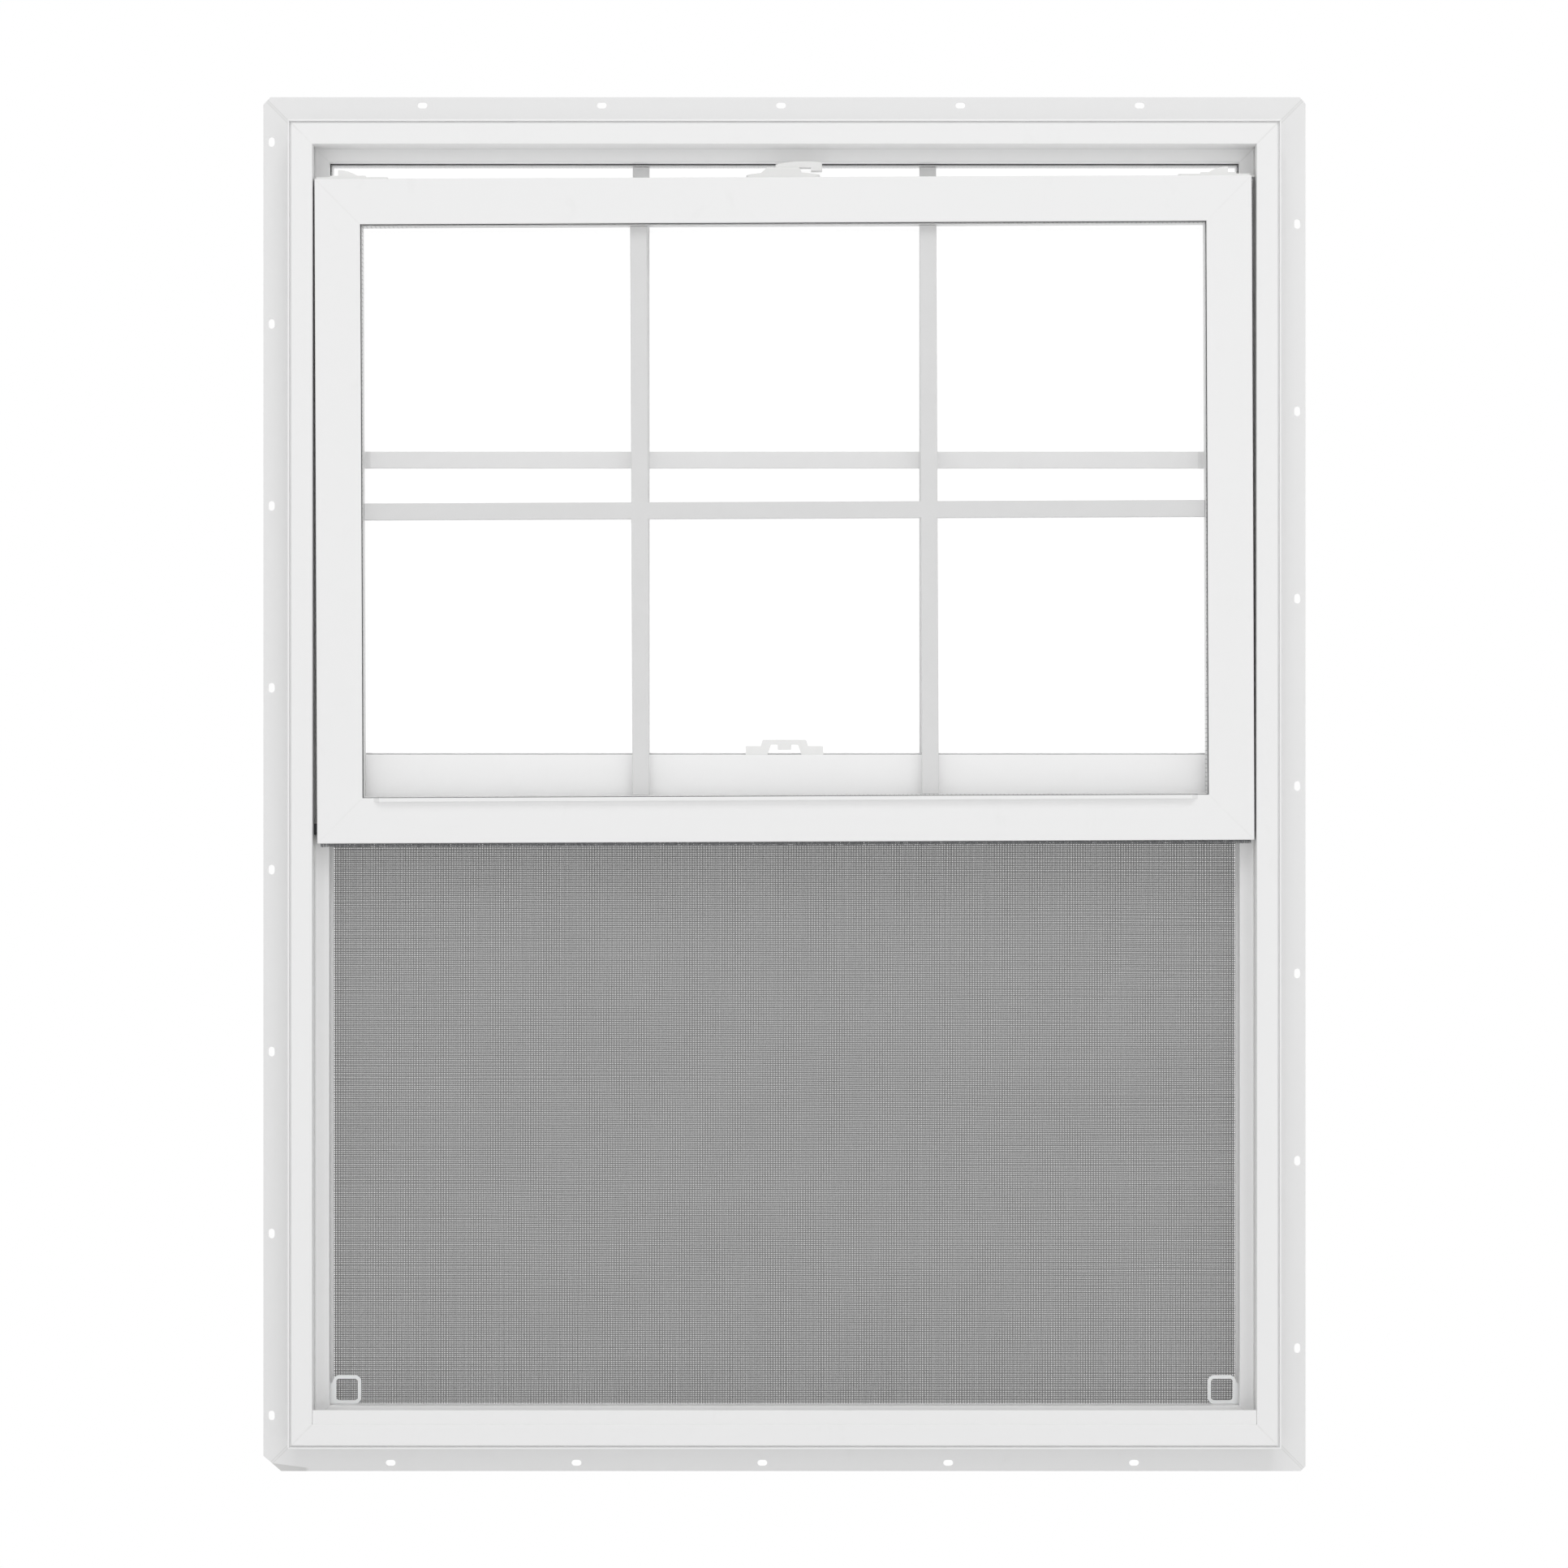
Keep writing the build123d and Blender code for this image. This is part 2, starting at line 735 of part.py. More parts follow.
# Keeper on the meeting rail, a stepped bridge with an arched window and a hook in it
keeper_middle = (meeting_rail_depth + stop_back) / 2
with BuildPart() as keeper:
    with BuildSketch(facing_room(keeper_middle, height=rail_top)) as keeper_section:
        with BuildLine():
            half_bridge = Polyline(
                (0, keeper_high),
                (keeper_top / 2, keeper_high),
                (keeper_raised / 2, keeper_low),
                (keeper_length / 2, keeper_low),
                (keeper_length / 2, 0),
                (arch_foot / 2, 0),
                (arch_top / 2, arch_height),
                (nub_width / 2, arch_height),
                (nub_width / 2, arch_height - nub_drop),
                (0, arch_height - nub_drop),
            )
            mirror(half_bridge, about=Plane.YZ)
        make_face()
        shoulder = [
            (side * x, y)
            for side in (-1, 1)
            for x, y in (
                (keeper_top / 2, keeper_high),
                (keeper_length / 2, keeper_low),
                (arch_top / 2, arch_height),
                (nub_width / 2, arch_height - nub_drop),
            )
        ]
        round_corners(keeper_section, shoulder, keeper_round)
    extrude(amount=keeper_width / 2, both=True)
finish(keeper, "lock_keeper")

# Tilt latches at both ends of the top rail, each a plate with its tongue and a thumb button
tongue_shift = balance_slot_depth + balance_slot_width / 2 - lock_mid
tab_from = (button_length - button_tab_length) / 2
tab_to = tab_from + button_tab_length
for side, out in (("left", -1), ("right", 1)):
    with BuildPart() as latch:
        plate_middle = out * (sash_half - latch_length / 2)
        with BuildSketch(lying(sash_top, across=plate_middle, depth=lock_mid)):
            RectangleRounded(latch_length, latch_width, latch_round)
            with Locations((out * (latch_length + latch_tongue) / 2, tongue_shift)):
                Rectangle(latch_tongue, latch_tongue_width)
        extrude(amount=latch_plate)
    finish(latch, f"tilt_latch_{side}")

    with BuildPart() as button:
        button_foot = room_point(out * (sash_half - button_from_edge), lock_mid, sash_top + latch_plate)
        with BuildSketch(Plane(button_foot, x_dir=(-out, 0, 0), z_dir=(0, out, 0))):
            with BuildLine():
                Polyline(
                    (tab_from, button_base + button_tab_height),
                    (tab_from, button_base),
                    (0, button_base),
                    (0, 0),
                    (button_length, 0),
                    (button_length, button_base),
                    (tab_to, button_base),
                )
                ThreePointArc(
                    (tab_to, button_base),
                    (tab_from + button_bulge_along, button_base + button_bulge_up),
                    (tab_from, button_base + button_tab_height),
                )
            make_face()
        extrude(amount=button_width / 2, both=True)
    finish(button, f"tilt_button_{side}")

# Pivot bars from the foot of the sash into the balance shoes, which slide in the jambs
slot_middle = balance_slot_depth + balance_slot_width / 2
pivot_low = sash_bottom + pivot_rise
shoe_inner = frame_half - face_leg + wall + shoe_fit + lean_shift
shoe_outer = frame_half - groove_from_edge - groove_width - wall - shoe_fit - lean_shift
with BuildPart() as pivot_bars:
    with BuildSketch(lying(pivot_low, depth=slot_middle)):
        with GridLocations(sash_half + shoe_inner, pivot_thick, 2, 1):
            Rectangle(shoe_inner - sash_half, pivot_thick)
    extrude(amount=pivot_height)
finish(pivot_bars, "pivot_bars")

with BuildPart() as balance_shoes:
    with BuildSketch(lying(pivot_low + (pivot_height - shoe_length) / 2, depth=slot_middle)):
        with GridLocations(shoe_inner + shoe_outer, shoe_depth, 2, 1):
            Rectangle(shoe_outer - shoe_inner, shoe_depth)
    extrude(amount=shoe_length)
finish(balance_shoes, "balance_shoes")

# Insect screen: four rolled bars, the mesh, the spline that holds it, and two pull tabs
screen_half = frame_half - stop_edge - screen_shows + screen_bar
screen_bottom = frame_bottom + pocket_floor + screen_fit
screen_top = rail_bottom - screen_fit
screen_front = lip_depth - screen_fit - screen_thick
spline_start = screen_bar - spline_inset - spline_width
spline_depth = screen_front + screen_thick - spline_deep
with BuildSketch() as screen_section:
    with Locations((screen_bar / 2, screen_thick / 2)):
        Rectangle(screen_bar, screen_thick)
    hollow(screen_wall, spline_start - screen_wall, screen_wall, screen_thick - screen_wall)
    # The spline's groove is open outdoors
    hollow(spline_start, spline_start + spline_width, screen_thick - spline_deep, screen_thick)
screen_pieces = {
    "screen_rail_top": "head",
    "screen_rail_bottom": "sill",
    "screen_stile_left": "left",
    "screen_stile_right": "right",
}
screen_sides = ring_sides(screen_half, screen_bottom, screen_top, screen_front)
for name, side in screen_pieces.items():
    blank = mitred_bar(screen_section.sketch, *screen_sides[side])
    with BuildPart() as bar:
        add(blank)
    finish(bar, name)

mesh_width = 2 * (screen_half - screen_bar)
mesh_height = screen_top - screen_bottom - 2 * screen_bar
cell_width = mesh_width / mesh_across
cell_height = mesh_height / mesh_up
with BuildPart() as screen_mesh:
    mesh_depth = screen_front + screen_thick - spline_under - mesh_thick
    with BuildSketch(facing_room(mesh_depth, height=(screen_bottom + screen_top) / 2)):
        Rectangle(mesh_width, mesh_height)
        with GridLocations(cell_width, cell_height, mesh_across, mesh_up):
            Rectangle(cell_width - mesh_strand, cell_height - mesh_strand, mode=Mode.SUBTRACT)
    extrude(amount=-mesh_thick)
finish(screen_mesh, "screen_mesh")

flat_ring(
    "screen_spline",
    screen_half - spline_start,
    screen_bottom + spline_start,
    screen_top - spline_start,
    spline_width,
    spline_depth,
    spline_deep - spline_under,
)

# Each pull tab is a square loop on a root that reaches back to the screen's stile
tab_depth = stop_back + tab_gap
tab_half = tab_size / 2
tab_low = frame_bottom + stop_edge + tab_rise
tab_outer = frame_half - stop_edge - tab_side_gap
tab_hole = tab_size - 2 * tab_wall
for side, out in (("left", -1), ("right", 1)):
    with BuildPart() as tab:
        loop_middle = room_point(out * (tab_outer - tab_half), tab_depth, tab_low + tab_half)
        with BuildSketch(Plane(loop_middle, x_dir=(out, 0, 0), z_dir=(0, -out, 0))):
            RectangleRounded(tab_size, tab_size, tab_round)
            with BuildLine():
                Polyline(
                    (0, -tab_half),
                    (tab_half + tab_leg, -tab_half),
                    (tab_half + tab_leg, tab_root_height - tab_half),
                    (tab_half, tab_half - tab_round),
                    (0, tab_half - tab_round),
                    close=True,
                )
            make_face()
            RectangleRounded(tab_hole, tab_hole, tab_round - tab_wall, mode=Mode.SUBTRACT)
        extrude(amount=-out * tab_thick)
        leg_middle = out * (tab_outer + tab_leg - tab_wall / 2)
        leg_height = tab_low + tab_root_height / 2
        with BuildSketch(facing_room(tab_depth + tab_thick, across=leg_middle, height=leg_height)):
            Rectangle(tab_wall, tab_root_height)
        extrude(amount=tab_depth + tab_thick - screen_front)
    finish(tab, f"pull_tab_{side}")
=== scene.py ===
import bpy, math
from mathutils import Matrix, Vector


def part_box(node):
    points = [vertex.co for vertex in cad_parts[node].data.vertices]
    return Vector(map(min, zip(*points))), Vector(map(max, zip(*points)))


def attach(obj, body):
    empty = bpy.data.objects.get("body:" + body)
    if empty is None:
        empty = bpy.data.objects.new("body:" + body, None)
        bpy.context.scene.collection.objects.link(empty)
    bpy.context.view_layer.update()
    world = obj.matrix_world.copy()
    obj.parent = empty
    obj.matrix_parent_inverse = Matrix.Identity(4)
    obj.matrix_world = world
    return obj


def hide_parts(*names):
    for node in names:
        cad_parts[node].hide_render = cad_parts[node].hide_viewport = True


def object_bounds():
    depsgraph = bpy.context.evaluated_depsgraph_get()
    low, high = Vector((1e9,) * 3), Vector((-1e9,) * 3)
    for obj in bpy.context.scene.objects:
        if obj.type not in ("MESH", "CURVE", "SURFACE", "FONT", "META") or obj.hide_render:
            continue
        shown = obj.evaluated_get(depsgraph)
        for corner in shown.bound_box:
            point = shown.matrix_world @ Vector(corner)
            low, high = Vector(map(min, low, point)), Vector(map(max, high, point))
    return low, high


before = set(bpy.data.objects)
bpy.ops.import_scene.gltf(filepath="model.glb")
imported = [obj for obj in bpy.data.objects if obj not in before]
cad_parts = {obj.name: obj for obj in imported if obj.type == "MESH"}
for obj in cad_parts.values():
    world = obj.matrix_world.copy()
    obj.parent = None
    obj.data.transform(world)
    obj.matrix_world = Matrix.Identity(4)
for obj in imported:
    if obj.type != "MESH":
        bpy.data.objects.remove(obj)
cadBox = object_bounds()
print("frame loaded:", len(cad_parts), "nodes")

mm = 0.001
mathNode = "ShaderNodeMath"
rangeNode = "ShaderNodeMapRange"
mixNode = "ShaderNodeMix"
noiseNode = "ShaderNodeTexNoise"
vectorNode = "ShaderNodeCombineXYZ"


def hexColour(code):
    # sRGB hex to the linear colour that the sockets take
    channels = [int(code[i:i + 2], 16) / 255 for i in (1, 3, 5)]
    return [c / 12.92 if c <= 0.04045 else ((c + 0.055) / 1.055) ** 2.4 for c in channels] + [1.0]


def addNode(tree, kind, inputs=None, **settings):
    # one node with its settings and links: a socket or a node's first output links, the rest are values
    node = tree.nodes.new(kind)
    for key, value in settings.items():
        setattr(node, key, value)
    for key, value in (inputs or {}).items():
        if isinstance(value, bpy.types.Node):
            value = value.outputs[0]
        if isinstance(value, bpy.types.NodeSocket):
            tree.links.new(value, node.inputs[key])
        else:
            node.inputs[key].default_value = value
    return node


def newMaterial(name):
    material = bpy.data.materials.new(name)
    material.use_nodes = True
    material.node_tree.nodes.clear()
    return material, material.node_tree


def surface(tree, colour, roughness, height=None, heightDistance=0.0001, **fixed):
    # the finished shader: colour and roughness may be linked, the rest are plain values
    shader = addNode(tree, "ShaderNodeBsdfPrincipled", {"Base Color": colour, "Roughness": roughness})
    for key, value in fixed.items():
        shader.inputs[key.replace("_", " ")].default_value = value
    if height is not None:
        bump = addNode(tree, "ShaderNodeBump", {"Height": height, "Distance": heightDistance,
                                                "Strength": 1.0})
        tree.links.new(bump.outputs[0], shader.inputs["Normal"])
    addNode(tree, "ShaderNodeOutputMaterial", {"Surface": shader})


# The two rings of welded bars, in millimetres: half sizes, how high the middle lies above the middle
# of the sill's fin, the lean in degrees with the right side higher, and how strong the seams show
frameRing = {"half": 450.85, "halfHigh": 603.25, "mid": 617.25, "lean": 0.0, "seam": 0.2}
sashRing = {"half": 425.5, "halfHigh": 301.75, "mid": 866.75, "lean": 0.24, "seam": 0.08}
# bars that are cut square belong to no ring and have no seam
noRing = {"half": 2000.0, "halfHigh": 4000.0, "mid": 0.0, "lean": 0.0, "seam": 0.0}

vinylLook = {
    "colour": "#f5f5f5",        # titanium white PVC, neutral
    "fin": "#eeeeee",           # painted shade: the fin, set back behind the frame's face, is drawn greyer than the hollow bars
    "soil": "#e8e8e7",          # handling marks
    "soilShare": 0.35,
    "roughness": 0.34,
    "roughnessSwing": 0.10,     # from the clean to the handled places
    "relief": 0.2,              # height of the whole relief, mm, of which the depths below are parts
    "dieLinePitch": 1.6,        # the die's drawing lines, mm: real ones are finer, too fine to show
    "dieLineDepth": 0.004,
    "orangePeel": 36.0,         # gentle waviness of thin walls, mm
    "orangePeelDepth": 0.012,
    "seamWidth": 1.1,           # cleaned weld bead at the mitres, mm
    "seamCore": 0.35,           # the part of it that is at full strength
    "seamDepth": 0.03,
    # the scraped seam's own tone, also used for the painted shade at the fin bead's edges
    "seamAndEdgeShadeTone": "#c9c9c7",
    "finBeadHalf": 1.1,         # half of the bead that is left on the fin
    "finBeadEdgeShade": 0.4,         # strength of the painted shade, as fine dark lines at its edges
    "finBeadBoost": 5.0,        # and how much more they show than the scraped seam
    "creaseFrom": (-468.0, -6.6),   # the fin's lower left corner is creased below this line, mm
    "creaseTo": (-441.0, -10.2),
    "creaseSoft": 0.9,
    "creaseEnd": 5.0,
    # painted shade below the fin's fold
    "creaseShadeTone": "#d6d6d5",
}


def extrudedVinyl(name, along, ring, creased=False):
    # rigid PVC, extruded and then hot plate welded at the mitres: a satin, even white with faint lines
    # drawn along each bar, a scraped weld line at 45 degrees and a few handling marks. The fin, the sliver
    # below its crease and the edges of the fin's weld bead are drawn darker as painted shade
    look = vinylLook
    material, tree = newMaterial(name)
    place = addNode(tree, "ShaderNodeTexCoord").outputs["Object"]
    split = addNode(tree, "ShaderNodeSeparateXYZ", {0: place}).outputs
    # across and up from the ring's own middle, turned back where the bars lean
    slope = math.radians(ring["lean"])
    level = addNode(tree, mathNode, {0: split[2], 1: ring["mid"] * mm}, operation="SUBTRACT")
    across = addNode(tree, mathNode, {0: level, 1: slope, 2: split[0]}, operation="MULTIPLY_ADD")
    up = addNode(tree, mathNode, {0: split[0], 1: -slope, 2: level}, operation="MULTIPLY_ADD")
    # how far past the ring's outline a point lies, and how far from the nearest mitre
    acrossSize = addNode(tree, mathNode, {0: across}, operation="ABSOLUTE")
    upSize = addNode(tree, mathNode, {0: up}, operation="ABSOLUTE")
    fromSide = addNode(tree, mathNode, {0: acrossSize, 1: ring["half"] * mm}, operation="SUBTRACT")
    fromEnd = addNode(tree, mathNode, {0: upSize, 1: ring["halfHigh"] * mm}, operation="SUBTRACT")
    apart = addNode(tree, mathNode, {0: fromSide, 1: fromEnd}, operation="SUBTRACT")
    apartSize = addNode(tree, mathNode, {0: apart}, operation="ABSOLUTE")
    mitre = addNode(tree, mathNode, {0: apartSize, 1: math.sqrt(0.5)}, operation="MULTIPLY")
    bead = addNode(tree, rangeNode, {
        "Value": mitre, "From Min": look["seamWidth"] * look["seamCore"] * mm,
        "From Max": look["seamWidth"] * mm, "To Min": 1.0, "To Max": 0.0}, interpolation_type="SMOOTHSTEP")
    # on the fin the weld isn't scraped: it stands as a flat bead, with painted shade as a fine dark line at
    # each edge
    outside = addNode(tree, mathNode, {0: fromSide, 1: fromEnd}, operation="MAXIMUM")
    onFin = addNode(tree, rangeNode, {"Value": outside, "From Min": 0.2 * mm, "From Max": 0.6 * mm},
                    interpolation_type="SMOOTHSTEP")
    fromBead = addNode(tree, mathNode, {0: mitre, 1: look["finBeadHalf"] * mm}, operation="SUBTRACT")
    fromEdge = addNode(tree, mathNode, {0: fromBead}, operation="ABSOLUTE")
    edge = addNode(tree, rangeNode, {
        "Value": fromEdge, "From Min": 0.1 * mm, "From Max": 0.5 * mm,
        "To Min": look["finBeadEdgeShade"], "To Max": 0.0}, interpolation_type="SMOOTHSTEP")
    edgeShadeLine = addNode(tree, mathNode, {0: onFin, 1: edge}, operation="MULTIPLY")
    # die lines run along the bar: noise that is fine across it and nearly still along it
    fine = 1000 / look["dieLinePitch"]
    still = fine * 0.002
    stretch = (still, fine, fine) if along == "x" else (fine, fine, still)
    drawn = addNode(tree, "ShaderNodeMapping", {"Vector": place, "Scale": stretch})
    lines = addNode(tree, noiseNode, {"Vector": drawn, "Scale": 1.0, "Detail": 2.0})
    wavy = addNode(tree, noiseNode, {"Vector": place, "Scale": 1000 / look["orangePeel"], "Detail": 1.0})
    # handling marks are hand sized smears, about 37 mm across and 83 mm high
    smeared = addNode(tree, "ShaderNodeMapping", {"Vector": place, "Scale": (9, 9, 4)})
    marks = addNode(tree, noiseNode, {"Vector": smeared, "Scale": 3.0, "Detail": 6.0, "Roughness": 0.62,
                                      "Distortion": 0.6})
    soiled = addNode(tree, rangeNode, {"Value": marks, "From Min": 0.60, "From Max": 0.82,
                                       "To Max": look["soilShare"]}, interpolation_type="SMOOTHSTEP")
    # painted shade: the fin's greyer colour is mixed in over the fin
    cleanAndFinShade = addNode(tree, mixNode, {0: onFin, 6: hexColour(look["colour"]), 7: hexColour(look["fin"])},
                    data_type="RGBA").outputs[2]
    tone = addNode(tree, mixNode, {0: soiled, 6: cleanAndFinShade, 7: hexColour(look["soil"])},
                   data_type="RGBA").outputs[2]
    if creased:
        # painted shade: the sliver below the fold is drawn darker, as if bent away from the light
        (foldX, foldZ), (endX, endZ) = look["creaseFrom"], look["creaseTo"]
        fall = (endZ - foldZ) / (endX - foldX)
        foldLine = addNode(tree, mathNode, {0: split[0], 1: fall, 2: (foldZ - foldX * fall) * mm},
                           operation="MULTIPLY_ADD")
        drop = addNode(tree, mathNode, {0: foldLine, 1: split[2]}, operation="SUBTRACT")
        below = addNode(tree, rangeNode, {"Value": drop, "From Max": look["creaseSoft"] * mm},
                        interpolation_type="SMOOTHSTEP")
        before = addNode(tree, rangeNode, {
            "Value": split[0], "From Min": endX * mm, "From Max": (endX + look["creaseEnd"]) * mm,
            "To Min": 1.0, "To Max": 0.0}, interpolation_type="SMOOTHSTEP")
        bent = addNode(tree, mathNode, {0: below, 1: before}, operation="MULTIPLY")
        tone = addNode(tree, mixNode, {0: bent, 6: tone, 7: hexColour(look["creaseShadeTone"])},
                       data_type="RGBA").outputs[2]
    # the scraped weld is smooth in places and shows only in stretches
    shown = addNode(tree, rangeNode, {"Value": marks, "From Min": 0.38, "From Max": 0.58, "To Min": 0.25},
                    interpolation_type="SMOOTHSTEP")
    beadShown = addNode(tree, mathNode, {0: bead, 1: shown}, operation="MULTIPLY")
    beadLine = addNode(tree, mathNode, {0: beadShown, 1: ring["seam"]}, operation="MULTIPLY")
    finEdgeShade = addNode(tree, mathNode, {0: edgeShadeLine, 1: ring["seam"] * look["finBeadBoost"]},
                      operation="MULTIPLY")
    # the scraped seam together with the painted shade at the fin bead's edges
    line = addNode(tree, mathNode, {0: beadLine, 1: finEdgeShade}, operation="MAXIMUM")
    seamed = addNode(tree, mixNode, {0: line, 6: tone, 7: hexColour(look["seamAndEdgeShadeTone"])},
                     data_type="RGBA").outputs[2]
    # the relief is the sum of the three, each as a share of its full height
    relief = look["relief"]
    height = addNode(tree, mathNode, {0: bead, 1: look["seamDepth"] / relief}, operation="MULTIPLY")
    for pattern, depth in ((wavy, look["orangePeelDepth"]), (lines, look["dieLineDepth"])):
        height = addNode(tree, mathNode, {0: pattern, 1: depth / relief, 2: height},
                         operation="MULTIPLY_ADD")
    leastRough = look["roughness"] - look["roughnessSwing"] / 2
    rough = addNode(tree, mathNode, {0: marks, 1: look["roughnessSwing"], 2: leastRough},
                    operation="MULTIPLY_ADD")
    surface(tree, seamed, rough, height, relief * mm, IOR=1.53)
    return material


frameAcross = extrudedVinyl("extrudedVinylFrameAcross", "x", frameRing, creased=True)
frameUpright = extrudedVinyl("extrudedVinylFrameUpright", "z", frameRing)
sashAcross = extrudedVinyl("extrudedVinylSashAcross", "x", sashRing)
sashUpright = extrudedVinyl("extrudedVinylSashUpright", "z", sashRing)
plainAcross = extrudedVinyl("extrudedVinylPlain", "x", noRing)

glassLook = {
    "ior": 1.52,
    "roughness": 0.0,
    "tint": "#ffffff",
    "faces": 1.8,               # faces of one pane that the gloss stands for, less what the inner one loses
}


def floatGlass(name, outward):
    # clear float glass: a thin pane shows as its reflection alone, so it is a clear pass with a
    # Fresnel gloss over it. Only the unit's outer face is glossy, and it stands for both faces of
    # its pane, so that the sealed unit's inner faces don't send light back and forth
    material, tree = newMaterial(name)
    clear = addNode(tree, "ShaderNodeBsdfTransparent", {"Color": hexColour(glassLook["tint"])})
    gloss = addNode(tree, "ShaderNodeBsdfGlossy", {"Color": (1, 1, 1, 1),
                                                   "Roughness": glassLook["roughness"]})
    fresnel = addNode(tree, "ShaderNodeFresnel", {"IOR": glassLook["ior"]})
    shape = addNode(tree, "ShaderNodeNewGeometry").outputs
    normal = addNode(tree, "ShaderNodeSeparateXYZ", {0: shape["Normal"]}).outputs
    facing = addNode(tree, mathNode, {0: normal[1], 1: outward}, operation="MULTIPLY")
    outer = addNode(tree, mathNode, {0: facing, 1: 0.5}, operation="GREATER_THAN")
    seenFromBack = addNode(tree, mathNode, {0: outer, 1: shape["Backfacing"]}, operation="MULTIPLY")
    front = addNode(tree, mathNode, {0: outer, 1: seenFromBack}, operation="SUBTRACT")
    # shadow rays go straight through
    path = addNode(tree, "ShaderNodeLightPath").outputs
    notShadow = addNode(tree, mathNode, {0: 1.0, 1: path["Is Shadow Ray"]}, operation="SUBTRACT")
    lit = addNode(tree, mathNode, {0: front, 1: notShadow}, operation="MULTIPLY")
    both = addNode(tree, mathNode, {0: fresnel, 1: glassLook["faces"]}, operation="MULTIPLY")
    share = addNode(tree, mathNode, {0: both, 1: 1.0}, operation="MINIMUM")
    reflected = addNode(tree, mathNode, {0: share, 1: lit}, operation="MULTIPLY")
    mix = addNode(tree, "ShaderNodeMixShader", {0: reflected, 1: clear, 2: gloss})
    addNode(tree, "ShaderNodeOutputMaterial", {"Surface": mix})
    return material


roomGlass = floatGlass("floatGlassRoomSide", -1.0)
outdoorGlass = floatGlass("floatGlassOutdoorSide", 1.0)


def grainedMaterial(name, colour, dark, roughness, grain, depth, swing=0.2, **fixed):
    # one moulded, painted or foamed finish: an even colour that drifts a little, over a fine grain
    # whose size and depth are in millimetres
    material, tree = newMaterial(name)
    place = addNode(tree, "ShaderNodeTexCoord").outputs["Object"]
    pits = addNode(tree, noiseNode, {"Vector": place, "Scale": 1000 / grain, "Detail": 3.0})
    # the colour drifts in patches of 25 mm
    drift = addNode(tree, noiseNode, {"Vector": place, "Scale": 1000 / 25, "Detail": 2.0})
    dulled = addNode(tree, rangeNode, {"Value": drift, "From Min": 0.35, "From Max": 0.75, "To Max": swing},
                     interpolation_type="SMOOTHSTEP")
    tone = addNode(tree, mixNode, {0: dulled, 6: hexColour(colour), 7: hexColour(dark)}, data_type="RGBA")
    rough = addNode(tree, mathNode, {0: pits, 1: 0.12, 2: roughness - 0.06}, operation="MULTIPLY_ADD")
    surface(tree, tone.outputs[2], rough, pits, depth * mm, **fixed)
    return material


grainedLooks = {
    # baked polyester enamel on roll formed aluminium strip: smooth; the grid's white is drawn greyer than the
    # vinyl, as painted shade for the light that the panes around it take away
    "bakedEnamelGridPaintedShade": {
        "colour": "#d5d5d5", "dark": "#cdcdcd", "roughness": 0.38, "grain": 2.2, "depth": 0.003,
        "IOR": 1.5},
    "bakedEnamelScreenBar": {
        "colour": "#f6f6f6", "dark": "#ececeb", "roughness": 0.36, "grain": 2.2, "depth": 0.003,
        "IOR": 1.5},
    # powder coat on die cast zinc: glossy, with the slight orange peel of the cured powder
    "powderCoatedZinc": {
        "colour": "#ebebea", "dark": "#e1e1df", "roughness": 0.30, "grain": 1.1, "depth": 0.012,
        "IOR": 1.5, "Coat_Weight": 0.2},
    # injection moulded ABS, lightly spark eroded tool: even, soft sheen
    "mouldedAbs": {
        "colour": "#f1f1f0", "dark": "#e7e7e5", "roughness": 0.42, "grain": 0.5, "depth": 0.006,
        "IOR": 1.54},
    # flexible PVC of the pull tabs: soft looking, scatters a little
    "flexiblePvc": {
        "colour": "#fafafa", "dark": "#f3f3f2", "roughness": 0.46, "grain": 0.8, "depth": 0.008,
        "IOR": 1.53, "Subsurface_Weight": 0.05},
    # closed cell PVC foam tape: black, pitted and without shine
    "foamGlazingTape": {
        "colour": "#26272a", "dark": "#17181a", "roughness": 0.85, "grain": 0.5, "depth": 0.08,
        "IOR": 1.45},
    # plasticised PVC cord that holds the insect screen: dark grey, dull
    "splineVinyl": {
        "colour": "#5a5b5d", "dark": "#48494b", "roughness": 0.55, "grain": 0.6, "depth": 0.03,
        "IOR": 1.5},
    # neoprene setting blocks, sheared from bar: black and matt
    "neopreneBlock": {
        "colour": "#2b2b2d", "dark": "#1e1e20", "roughness": 0.75, "grain": 0.7, "depth": 0.04,
        "IOR": 1.5},
    # natural acetal of the balance shoes: waxy, slightly cream
    "acetalShoe": {
        "colour": "#e4e1d8", "dark": "#d6d2c6", "roughness": 0.40, "grain": 1.0, "depth": 0.006,
        "IOR": 1.48, "Subsurface_Weight": 0.05},
    # pivot bars of steel, zinc plated and passivated black: dark, patchy, a dull metal sheen
    "blackZincPlatedSteel": {
        "colour": "#4b4c4e", "dark": "#38393b", "roughness": 0.5, "grain": 1.2, "depth": 0.006,
        "swing": 0.6, "Metallic": 0.8},
}
grained = {name: grainedMaterial(name, **look) for name, look in grainedLooks.items()}

spacerLook = {
    "metal": "#c6c6c6",
    "hole": "#8e8e8e",          # too small to show as black
    "holeSpacing": 4.0,         # mm
    "holeInner": 0.2,           # mm from its middle: the hole is full to here
    "holeOuter": 0.6,           # and gone from here on
    "roughness": 0.30,
}


